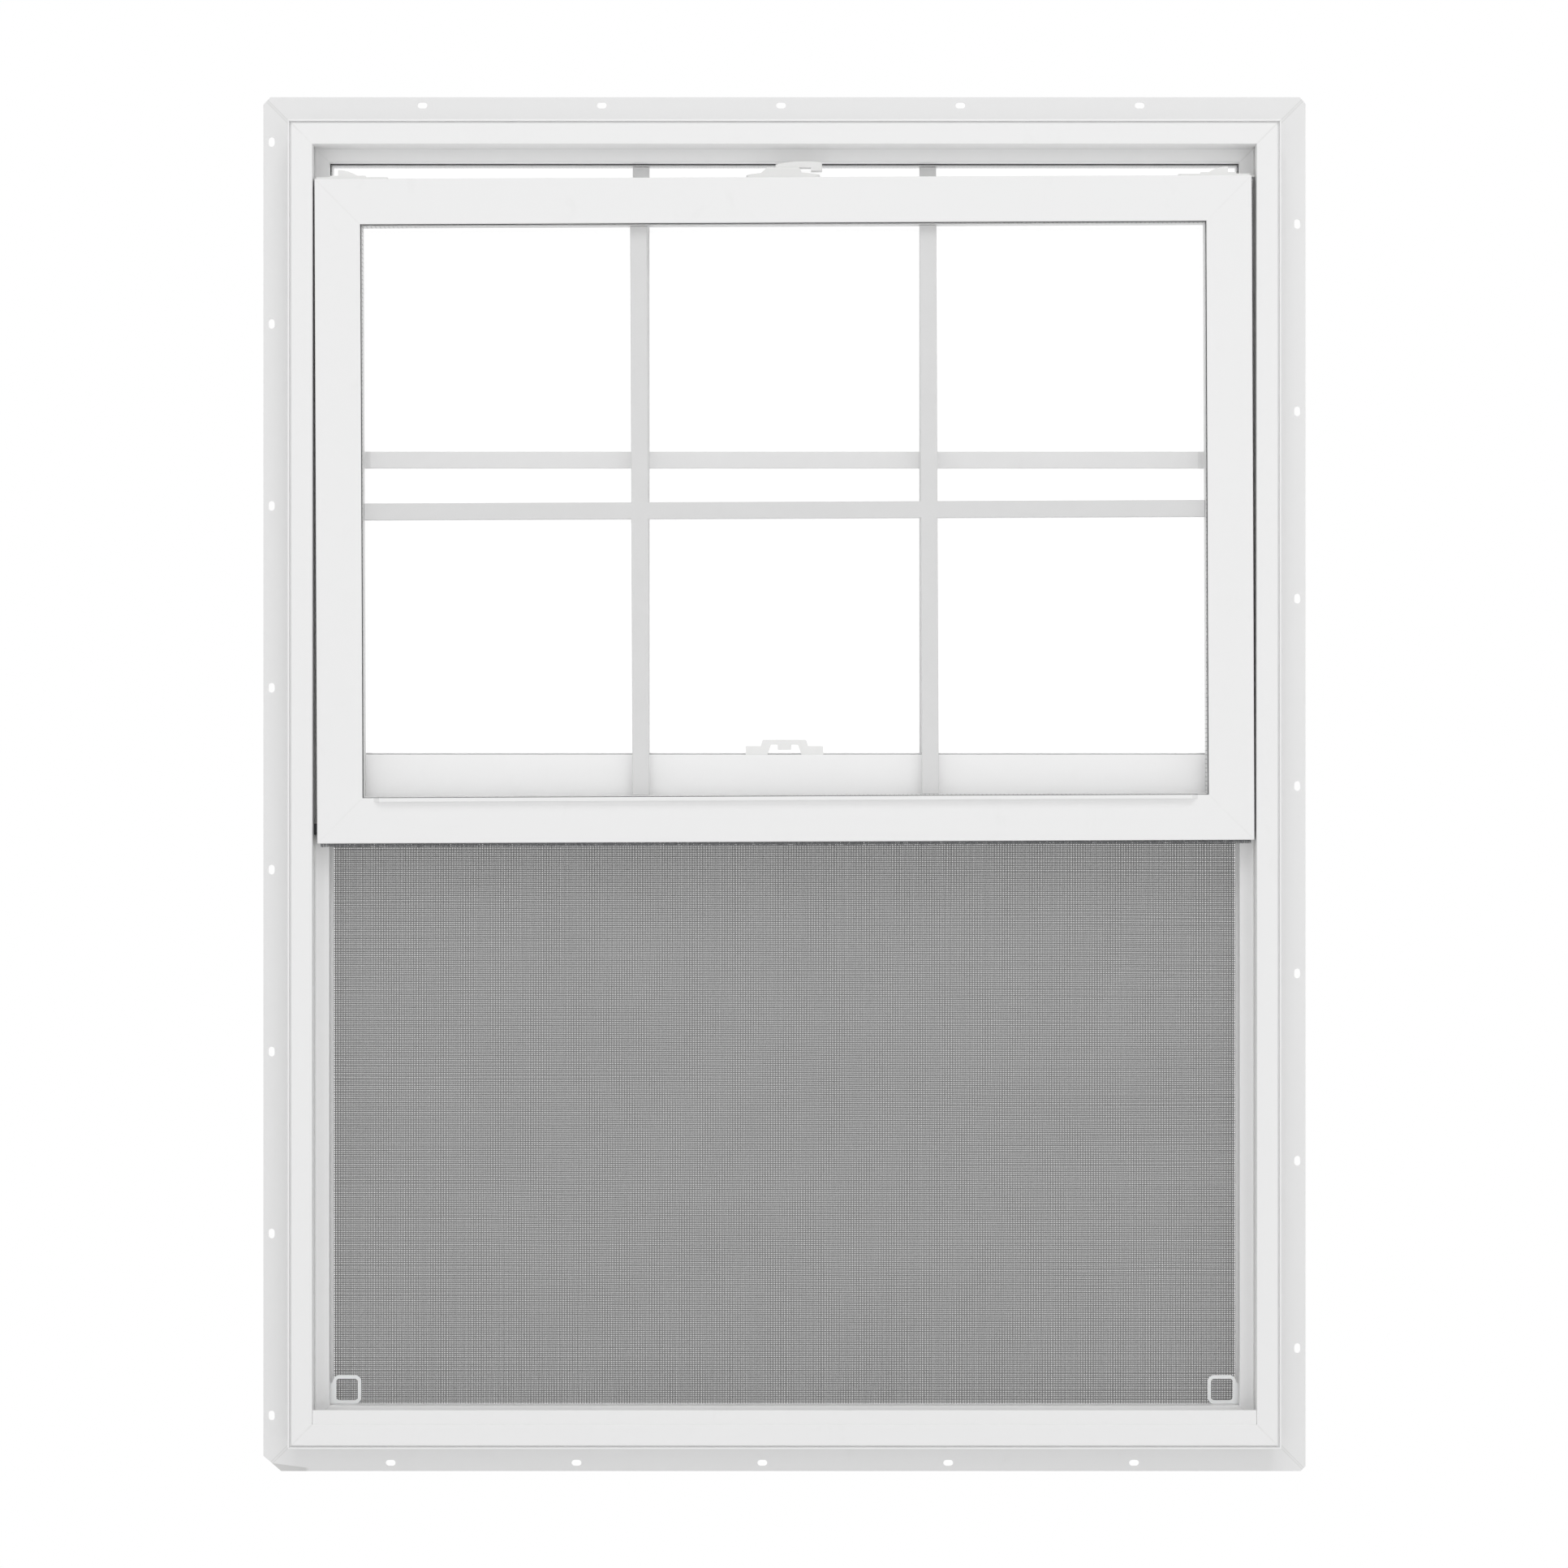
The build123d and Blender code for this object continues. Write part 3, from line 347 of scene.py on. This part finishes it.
def spacerStrip():
    # mill finish aluminium spacer, roll formed and filled with desiccant: dull metal with a row of
    # pin holes along the side that shows between the panes
    look = spacerLook
    material, tree = newMaterial("millFinishSpacer")
    place = addNode(tree, "ShaderNodeTexCoord").outputs["Object"]
    split = addNode(tree, "ShaderNodeSeparateXYZ", {0: place}).outputs
    # the rolls leave lines 1.1 mm apart and 50 mm long, coarser than real ones so that they show
    rolled = addNode(tree, "ShaderNodeMapping", {"Vector": place, "Scale": (20, 900, 20)})
    brush = addNode(tree, noiseNode, {"Vector": rolled, "Scale": 1.0, "Detail": 2.0})
    spots = []
    for axis in (0, 2):
        fromHole = addNode(tree, mathNode, {0: split[axis], 1: look["holeSpacing"] / 2 * mm},
                           operation="PINGPONG")
        spots.append(addNode(tree, rangeNode, {
            "Value": fromHole, "From Min": look["holeInner"] * mm, "From Max": look["holeOuter"] * mm,
            "To Min": 1.0, "To Max": 0.0}, interpolation_type="SMOOTHSTEP"))
    hole = addNode(tree, mathNode, {0: spots[0], 1: spots[1]}, operation="MULTIPLY")
    tone = addNode(tree, mixNode, {0: hole, 6: hexColour(look["metal"]), 7: hexColour(look["hole"])},
                   data_type="RGBA")
    rough = addNode(tree, mathNode, {0: brush, 1: 0.2, 2: look["roughness"]}, operation="MULTIPLY_ADD")
    surface(tree, tone.outputs[2], rough, brush, 0.01 * mm, Metallic=1.0)
    return material


millSpacer = spacerStrip()

finishes = {
    frameAcross: ["frame_head", "frame_sill"],
    frameUpright: ["frame_jamb_left", "frame_jamb_right"],
    sashAcross: ["sash_top_rail", "sash_bottom_rail", "sash_beads"],
    sashUpright: ["sash_stile_left", "sash_stile_right"],
    plainAcross: ["sill_riser", "meeting_rail", "upper_beads"],
    roomGlass: ["upper_glass_inner", "sash_glass_inner"],
    outdoorGlass: ["upper_glass_outer", "sash_glass_outer"],
    millSpacer: ["upper_spacer", "sash_spacer"],
    grained["foamGlazingTape"]: ["upper_tape", "sash_tape"],
    # painted shade: the grids between the panes take the greyer enamel
    grained["bakedEnamelGridPaintedShade"]: ["upper_grid", "sash_grid"],
    grained["powderCoatedZinc"]: ["lock_base", "lock_lever", "lock_keeper"],
    grained["mouldedAbs"]: ["tilt_latch_left", "tilt_latch_right", "tilt_button_left", "tilt_button_right"],
    grained["flexiblePvc"]: ["pull_tab_left", "pull_tab_right"],
    grained["bakedEnamelScreenBar"]: ["screen_rail_top", "screen_rail_bottom", "screen_stile_left",
                                      "screen_stile_right"],
    grained["splineVinyl"]: ["screen_spline"],
    grained["blackZincPlatedSteel"]: ["pivot_bars"],
    grained["acetalShoe"]: ["balance_shoes"],
    grained["neopreneBlock"]: ["setting_blocks"],
}
for material, names in finishes.items():
    for name in names:
        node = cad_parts[name]
        node.data.materials.clear()
        node.data.materials.append(material)
print("finishes given to", sum(len(names) for names in finishes.values()), "nodes")


# What repeats is made by Geometry Nodes that end in plain meshes
def newTree(name, sockets):
    tree = bpy.data.node_groups.new(name, "GeometryNodeTree")
    for label, kind in sockets:
        tree.interface.new_socket(label, in_out="INPUT", socket_type="NodeSocket" + kind)
    tree.interface.new_socket("Mesh", in_out="OUTPUT", socket_type="NodeSocketGeometry")
    return tree, tree.nodes.new("NodeGroupInput").outputs


def runTree(name, tree, values):
    # runs the tree on an empty mesh and keeps its result as a plain mesh at the origin
    carrier = bpy.data.objects.new(name + "Carrier", bpy.data.meshes.new(name + "Carrier"))
    bpy.context.scene.collection.objects.link(carrier)
    modifier = carrier.modifiers.new("pattern", "NODES")
    modifier.node_group = tree
    for item in tree.interface.items_tree:
        if item.in_out == "INPUT" and item.name in values:
            modifier[item.identifier] = values[item.name]
    bpy.context.view_layer.update()
    result = bpy.data.meshes.new_from_object(carrier.evaluated_get(bpy.context.evaluated_depsgraph_get()))
    bpy.data.objects.remove(carrier)
    piece = bpy.data.objects.new(name, result)
    bpy.context.scene.collection.objects.link(piece)
    print(name + ":", len(result.polygons), "faces")
    return piece


meshLook = {
    "dark": "#737373",
    "light": "#7e7e7e",
    "twist": 0.6,               # ridges of the twisted yarn under its coat, mm
    "twistDepth": 0.03,
    "acrossPitch": 1.53,        # between upright yarns, mm, as counted in the photo
    "upPitch": 1.716,           # between level yarns
    "yarnWide": 0.95,           # real yarn is 0.3 mm: drawn wider, so that the cloth reads as dark
    "yarnDeep": 0.24,
    "segments": 12,             # bends along one yarn
    "drift": 3.8,               # slow wandering of the yarns across the screen, mm
    "driftScale": 6.0,
    "held": 70.0,               # the spline holds the cloth straight, and lets it wander from here in
    "stray": 0.03,              # how far one yarn may lie from its place, mm
    "skew": 0.0003,             # and from its direction, radians
    "seed": 5,
}


def yarnMaterial():
    # glass fibre yarn with a grey PVC coat: dull mid grey, the twist shows as fine ridges
    material, tree = newMaterial("coatedGlassYarn")
    place = addNode(tree, "ShaderNodeTexCoord").outputs["Object"]
    twist = addNode(tree, noiseNode, {"Vector": place, "Scale": 1000 / meshLook["twist"], "Detail": 2.0})
    # the coat's tone drifts in patches of about 70 mm
    drift = addNode(tree, noiseNode, {"Vector": place, "Scale": 14.0, "Detail": 3.0})
    tone = addNode(tree, mixNode, {0: drift, 6: hexColour(meshLook["dark"]), 7: hexColour(meshLook["light"])},
                   data_type="RGBA")
    rough = addNode(tree, mathNode, {0: twist, 1: 0.15, 2: 0.48}, operation="MULTIPLY_ADD")
    surface(tree, tone.outputs[2], rough, twist, meshLook["twistDepth"] * mm, IOR=1.5)
    return material


def yarnTree():
    # two families of yarns, each laid out on a line, turned, bent and moved to the screen's middle
    tree, given = newTree("insectMesh", [
        ("Yarn Material", "Material"), ("Width", "Float"), ("Height", "Float"), ("Across Pitch", "Float"),
        ("Up Pitch", "Float"), ("Yarn Wide", "Float"), ("Yarn Deep", "Float"), ("Segments", "Int"),
        ("Drift", "Float"), ("Drift Scale", "Float"), ("Held", "Float"), ("Stray", "Float"),
        ("Skew", "Float"), ("Seed", "Int"), ("Centre", "Vector")])
    lessStray = addNode(tree, mathNode, {0: given["Stray"], 1: -1.0}, operation="MULTIPLY")
    lessSkew = addNode(tree, mathNode, {0: given["Skew"], 1: -1.0}, operation="MULTIPLY")
    section = addNode(tree, vectorNode, {"X": given["Yarn Wide"], "Y": given["Yarn Deep"], "Z": 1.0})
    position = addNode(tree, "GeometryNodeInputPosition")
    fromMiddle = addNode(tree, "ShaderNodeSeparateXYZ", {0: position}).outputs
    joined = addNode(tree, "GeometryNodeJoinGeometry")
    for span, run, pitch, axis in (("Width", "Height", "Across Pitch", "X"),
                                   ("Height", "Width", "Up Pitch", "Z")):
        upright = axis == "X"
        seed = addNode(tree, mathNode, {0: given["Seed"], 1: float(upright)}, operation="ADD")
        fits = addNode(tree, mathNode, {0: given[span], 1: given[pitch]}, operation="DIVIDE")
        count = addNode(tree, mathNode, {0: fits}, operation="FLOOR")
        gaps = addNode(tree, mathNode, {0: count, 1: 1.0}, operation="SUBTRACT")
        reach = addNode(tree, mathNode, {0: gaps, 1: given[pitch]}, operation="MULTIPLY")
        start = addNode(tree, mathNode, {0: reach, 1: -0.5}, operation="MULTIPLY")
        # the uprights lie on the room side of the level yarns
        shift = addNode(tree, mathNode, {0: given["Yarn Deep"], 1: -0.5 if upright else 0.5},
                        operation="MULTIPLY")
        first = addNode(tree, vectorNode, {axis: start, "Y": shift})
        step = addNode(tree, vectorNode, {axis: given[pitch]})
        row = addNode(tree, "GeometryNodeMeshLine", {"Count": count, "Start Location": first, "Offset": step},
                      mode="OFFSET")
        stray = addNode(tree, "FunctionNodeRandomValue", {2: lessStray, 3: given["Stray"], "Seed": seed},
                        data_type="FLOAT").outputs[1]
        aside = addNode(tree, vectorNode, {axis: stray})
        strayed = addNode(tree, "GeometryNodeSetPosition", {"Geometry": row, "Offset": aside})
        turnSeed = addNode(tree, mathNode, {0: seed, 1: 7.0}, operation="ADD")
        turn = addNode(tree, "FunctionNodeRandomValue", {2: lessSkew, 3: given["Skew"], "Seed": turnSeed},
                       data_type="FLOAT").outputs[1]
        turned = addNode(tree, vectorNode, {"Y": turn})
        # one yarn: a flat strand with a diamond section, cut in lengths so that it can bend
        yarn = addNode(tree, "GeometryNodeMeshCylinder", {
            "Vertices": 4, "Side Segments": given["Segments"], "Radius": 0.5, "Depth": given[run]},
            fill_type="NGON")
        flat = addNode(tree, "GeometryNodeTransform", {"Geometry": yarn, "Scale": section})
        laid = addNode(tree, "GeometryNodeTransform", {
            "Geometry": flat, "Rotation": (0, 0, 0) if upright else (0, math.pi / 2, 0)})
        copies = addNode(tree, "GeometryNodeInstanceOnPoints", {
            "Points": strayed, "Instance": laid, "Rotation": turned})
        family = addNode(tree, "GeometryNodeRealizeInstances", {0: copies})
        # the yarns of a family wander together, less and less towards the edge where they are held
        wander = addNode(tree, noiseNode, {"Vector": position, "W": seed, "Scale": given["Drift Scale"],
                                           "Detail": 1.0}, noise_dimensions="4D")
        swing = addNode(tree, mathNode, {0: wander, 1: 0.5}, operation="SUBTRACT")
        drift = addNode(tree, mathNode, {0: swing, 1: given["Drift"]}, operation="MULTIPLY")
        half = addNode(tree, mathNode, {0: given[span], 1: 0.5}, operation="MULTIPLY")
        away = addNode(tree, mathNode, {0: fromMiddle[axis]}, operation="ABSOLUTE")
        inside = addNode(tree, mathNode, {0: half, 1: away}, operation="SUBTRACT")
        free = addNode(tree, rangeNode, {"Value": inside, "From Max": given["Held"]},
                       interpolation_type="SMOOTHSTEP")
        bend = addNode(tree, mathNode, {0: drift, 1: free}, operation="MULTIPLY")
        bendAside = addNode(tree, vectorNode, {axis: bend})
        bent = addNode(tree, "GeometryNodeSetPosition", {"Geometry": family, "Offset": bendAside})
        tree.links.new(bent.outputs[0], joined.inputs[0])
    placed = addNode(tree, "GeometryNodeTransform", {"Geometry": joined, "Translation": given["Centre"]})
    real = addNode(tree, "GeometryNodeRealizeInstances", {0: placed})
    done = addNode(tree, "GeometryNodeSetMaterial", {"Geometry": real, "Material": given["Yarn Material"]})
    addNode(tree, "NodeGroupOutput", {0: done})
    return tree


low, high = (Vector(corner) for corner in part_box("screen_mesh"))
insectMesh = runTree("insect_mesh", yarnTree(), {
    "Yarn Material": yarnMaterial(),
    "Width": high.x - low.x,
    "Height": high.z - low.z,
    "Across Pitch": meshLook["acrossPitch"] * mm,
    "Up Pitch": meshLook["upPitch"] * mm,
    "Yarn Wide": meshLook["yarnWide"] * mm,
    "Yarn Deep": meshLook["yarnDeep"] * mm,
    "Segments": meshLook["segments"],
    "Drift": meshLook["drift"] * mm,
    "Drift Scale": meshLook["driftScale"],
    "Held": meshLook["held"] * mm,
    "Stray": meshLook["stray"] * mm,
    "Skew": meshLook["skew"],
    "Seed": meshLook["seed"],
    "Centre": (low + high) / 2,
})
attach(insectMesh, "root")
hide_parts("screen_mesh")


pileLook = {
    "dark": "#6c6d6f",
    "light": "#a3a4a6",
    "clump": 3.0,               # bristles of one tone stand in clumps of this size, mm
    "roughness": 0.8,
    "stepAlong": 0.75,          # tufts along the strip, mm
    "stepAcross": 0.85,
    "bristleRadius": 0.26,
    "backing": 0.7,             # woven back that sits in the groove
    "lean": 0.16,               # radians of scatter
    "seed": 11,
    "grooveDeep": 1.8,
    "bottomReach": 3.6,         # how far the bottom strip stands out of the sash
}


def pileMaterial():
    # crimped polypropylene pile on a woven back: matt charcoal, lighter where the tips catch light
    material, tree = newMaterial("polypropylenePile")
    place = addNode(tree, "ShaderNodeTexCoord").outputs["Object"]
    clump = addNode(tree, noiseNode, {"Vector": place, "Scale": 1000 / pileLook["clump"], "Detail": 3.0})
    tone = addNode(tree, mixNode, {0: clump, 6: hexColour(pileLook["dark"]), 7: hexColour(pileLook["light"])},
                   data_type="RGBA")
    surface(tree, tone.outputs[2], pileLook["roughness"], Sheen_Weight=0.3, Sheen_Roughness=0.5)
    return material


def pileTree():
    # bristles stand on a grid on the strip's back, along +Z from the base, each leaning its own way
    tree, given = newTree("pileStrip", [
        ("Pile Material", "Material"), ("Length", "Float"), ("Width", "Float"), ("Pile Height", "Float"),
        ("Backing", "Float"), ("Step Along", "Float"), ("Step Across", "Float"),
        ("Bristle Radius", "Float"), ("Lean", "Float"), ("Seed", "Int"), ("Turn", "Vector"),
        ("Place", "Vector")])
    radius = given["Bristle Radius"]
    margin = addNode(tree, mathNode, {0: radius, 1: 4.0}, operation="MULTIPLY")
    sizeX = addNode(tree, mathNode, {0: given["Length"], 1: margin}, operation="SUBTRACT")
    sizeY = addNode(tree, mathNode, {0: given["Width"], 1: margin}, operation="SUBTRACT")
    fitsX = addNode(tree, mathNode, {0: sizeX, 1: given["Step Along"]}, operation="DIVIDE")
    fitsY = addNode(tree, mathNode, {0: sizeY, 1: given["Step Across"]}, operation="DIVIDE")
    countX = addNode(tree, mathNode, {0: fitsX}, operation="FLOOR")
    rowsY = addNode(tree, mathNode, {0: fitsY}, operation="FLOOR")
    countY = addNode(tree, mathNode, {0: rowsY, 1: 1.0}, operation="ADD")
    grid = addNode(tree, "GeometryNodeMeshGrid", {"Size X": sizeX, "Size Y": sizeY, "Vertices X": countX,
                                                  "Vertices Y": countY})
    tip = addNode(tree, mathNode, {0: radius, 1: 0.45}, operation="MULTIPLY")
    stand = addNode(tree, mathNode, {0: given["Pile Height"], 1: given["Backing"]}, operation="SUBTRACT")
    bristle = addNode(tree, "GeometryNodeMeshCone", {
        "Vertices": 4, "Side Segments": 1, "Radius Bottom": radius, "Radius Top": tip, "Depth": stand})
    lessLean = addNode(tree, mathNode, {0: given["Lean"], 1: -1.0}, operation="MULTIPLY")
    leanLow = addNode(tree, vectorNode, {"X": lessLean, "Y": lessLean, "Z": 0.0})
    leanHigh = addNode(tree, vectorNode, {"X": given["Lean"], "Y": given["Lean"], "Z": 1.5})
    lean = addNode(tree, "FunctionNodeRandomValue", {"Min": leanLow, "Max": leanHigh, "Seed": given["Seed"]},
                   data_type="FLOAT_VECTOR")
    tallSeed = addNode(tree, mathNode, {0: given["Seed"], 1: 1.0}, operation="ADD")
    tall = addNode(tree, "FunctionNodeRandomValue", {2: 0.80, 3: 1.0, "Seed": tallSeed},
                   data_type="FLOAT").outputs[1]
    stretched = addNode(tree, vectorNode, {"X": 1.0, "Y": 1.0, "Z": tall})
    copies = addNode(tree, "GeometryNodeInstanceOnPoints", {
        "Points": grid, "Instance": bristle, "Rotation": lean, "Scale": stretched})
    onBack = addNode(tree, vectorNode, {"Z": given["Backing"]})
    raised = addNode(tree, "GeometryNodeTransform", {"Geometry": copies, "Translation": onBack})
    backSize = addNode(tree, vectorNode, {"X": given["Length"], "Y": given["Width"], "Z": given["Backing"]})
    back = addNode(tree, "GeometryNodeMeshCube", {"Size": backSize})
    halfBack = addNode(tree, mathNode, {0: given["Backing"], 1: 0.5}, operation="MULTIPLY")
    backMiddle = addNode(tree, vectorNode, {"Z": halfBack})
    backPlaced = addNode(tree, "GeometryNodeTransform", {"Geometry": back, "Translation": backMiddle})
    joined = addNode(tree, "GeometryNodeJoinGeometry")
    for part in (raised, backPlaced):
        tree.links.new(part.outputs[0], joined.inputs[0])
    placed = addNode(tree, "GeometryNodeTransform", {"Geometry": joined, "Translation": given["Place"],
                                                     "Rotation": given["Turn"]})
    real = addNode(tree, "GeometryNodeRealizeInstances", {0: placed})
    done = addNode(tree, "GeometryNodeSetMaterial", {"Geometry": real, "Material": given["Pile Material"]})
    addNode(tree, "NodeGroupOutput", {0: done})
    return tree


pileYarn = pileMaterial()
pileGroup = pileTree()


def pileStrip(name, length, width, height, turn, place):
    return runTree(name, pileGroup, {
        "Pile Material": pileYarn,
        "Length": length,
        "Width": width,
        "Pile Height": height,
        "Backing": pileLook["backing"] * mm,
        "Step Along": pileLook["stepAlong"] * mm,
        "Step Across": pileLook["stepAcross"] * mm,
        "Bristle Radius": pileLook["bristleRadius"] * mm,
        "Lean": pileLook["lean"],
        "Seed": pileLook["seed"],
        "Turn": turn,
        "Place": place,
    })


def mergeMeshes(name, parts):
    # several plain meshes as one piece, still at the origin
    with bpy.context.temp_override(active_object=parts[0], selected_editable_objects=parts,
                                   selected_objects=parts, object=parts[0]):
        bpy.ops.object.join()
    parts[0].name = name
    return parts[0]


# The strips are laid out on the upright sash and then leaned with it, about its middle
sashMiddle = Vector((0, 0, sashRing["mid"] * mm))
sashLean = math.radians(sashRing["lean"])
leaning = (Matrix.Translation(sashMiddle) @ Matrix.Rotation(-sashLean, 4, "Y")
           @ Matrix.Translation(-sashMiddle))
leanShift = math.sin(sashLean) * sashRing["halfHigh"] * mm

low, high = (Vector(corner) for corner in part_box("sash_side_piles"))
grooveFoot = (sashRing["half"] - pileLook["grooveDeep"]) * mm
middleY = (low.y + high.y) / 2
sidePiles = mergeMeshes("side_pile_bristles", [
    pileStrip("side_pile_" + side, 2 * sashRing["halfHigh"] * mm, high.y - low.y,
              high.x - leanShift - grooveFoot, (0, out * math.pi / 2, 0),
              (out * grooveFoot, middleY, sashMiddle.z))
    for side, out in (("left", -1), ("right", 1))])
sidePiles.data.transform(leaning)
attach(sidePiles, "root")
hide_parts("sash_side_piles")

low, high = (Vector(corner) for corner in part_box("sash_bottom_pile"))
grooveTop = (sashRing["mid"] - sashRing["halfHigh"] + pileLook["grooveDeep"]) * mm
bottomPile = pileStrip("bottom_pile_bristles", high.x - low.x, high.y - low.y,
                       (pileLook["grooveDeep"] + pileLook["bottomReach"]) * mm,
                       (math.pi, 0, 0), (0, (low.y + high.y) / 2, grooveTop))
bottomPile.data.transform(leaning)
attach(bottomPile, "root")
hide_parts("sash_bottom_pile")

studio = {
    "faceDepth": -0.0476,       # the room side face, on Y, metres
    "distance": 3.600,          # camera to that face
    "height": 0.6174,
    "aside": -0.0004,
    "lens": 91.13,              # with a 36 mm sensor
    "floorTone": "#f0f0f0",
    "floorDrop": 0.42,          # the floor lies this far below the sill fin
    "floorHalf": 4.0,
    "floorFront": -6.0,
    "floorBack": 1.2,           # ends before the camera would see it
    "ambient": 0.60,            # room side light on the object, from all round
    "behind": 0.97,             # light from the bright sweep behind it
    "aim": (0, 0, 0.62),
    "panelPlace": (0.2, -4.6, 0.3),
    "panelSize": 5.0,
    "panelPower": 39.0,
    "topPlace": (0.3, -4.4, 5.2),
    "topSize": 3.0,
    "topPower": 78.0,
    "crossings": 24,            # faces of glass that a ray may cross, through both units and back
}

cameraData = bpy.data.cameras.new("photoCamera")
cameraData.lens = studio["lens"]
cameraData.sensor_width = 36.0
camera = bpy.data.objects.new("photoCamera", cameraData)
camera.location = (studio["aside"], studio["faceDepth"] - studio["distance"], studio["height"])
camera.rotation_euler = (math.pi / 2, 0, 0)
bpy.context.scene.collection.objects.link(camera)
bpy.context.scene.camera = camera


def softLamp(name, place, size, power):
    data = bpy.data.lights.new(name, "AREA")
    data.shape = "SQUARE"
    data.size = size
    data.energy = power
    lamp = bpy.data.objects.new(name, data)
    lamp.location = place
    lamp.rotation_euler = (Vector(studio["aim"]) - Vector(place)).to_track_quat("-Z", "Y").to_euler()
    bpy.context.scene.collection.objects.link(lamp)


softLamp("frontPanel", studio["panelPlace"], studio["panelSize"], studio["panelPower"])
softLamp("topSoftbox", studio["topPlace"], studio["topSize"], studio["topPower"])

# The white sweep is what a ray from the camera sees, straight, mirrored or through glass. The light
# on the object is set apart from it, weaker on the room side than behind
world = bpy.data.worlds.new("whiteStudio")
bpy.context.scene.world = world
world.use_nodes = True
tree = world.node_tree
tree.nodes.clear()
path = addNode(tree, "ShaderNodeLightPath").outputs
thrown = addNode(tree, mathNode, {0: path["Is Glossy Ray"], 1: path["Is Transmission Ray"]},
                 operation="MAXIMUM")
seen = addNode(tree, mathNode, {0: path["Is Camera Ray"], 1: thrown}, operation="MAXIMUM")
direction = addNode(tree, "ShaderNodeTexCoord").outputs["Generated"]
outdoors = addNode(tree, "ShaderNodeSeparateXYZ", {0: direction}).outputs[1]
fall = addNode(tree, rangeNode, {
    "Value": outdoors, "From Min": -0.1, "From Max": 0.5, "To Min": studio["ambient"],
    "To Max": studio["behind"]}, interpolation_type="SMOOTHSTEP")
roomLight = addNode(tree, "ShaderNodeBackground", {"Color": (1, 1, 1, 1), "Strength": fall})
whiteSweep = addNode(tree, "ShaderNodeBackground", {"Color": (1, 1, 1, 1), "Strength": 1.0})
both = addNode(tree, "ShaderNodeMixShader", {0: seen, 1: roomLight, 2: whiteSweep})
addNode(tree, "ShaderNodeOutputWorld", {"Surface": both})

# matt white studio floor, well below the window, which catches its soft shadow
material, tree = newMaterial("mattStudioFloor")
surface(tree, hexColour(studio["floorTone"]), 0.9)
floorMesh = bpy.data.meshes.new("studioFloor")
floorZ = cadBox[0][2] - studio["floorDrop"]
side, near, far = studio["floorHalf"], studio["floorFront"], studio["floorBack"]
corners = [(-side, near, floorZ), (side, near, floorZ), (side, far, floorZ), (-side, far, floorZ)]
floorMesh.from_pydata(corners, [], [(0, 1, 2, 3)])
floorMesh.materials.append(material)
floor = bpy.data.objects.new("studioFloor", floorMesh)
bpy.context.scene.collection.objects.link(floor)

bpy.context.scene.view_settings.view_transform = "Standard"
bpy.context.scene.cycles.transparent_max_bounces = studio["crossings"]
print("studio set")
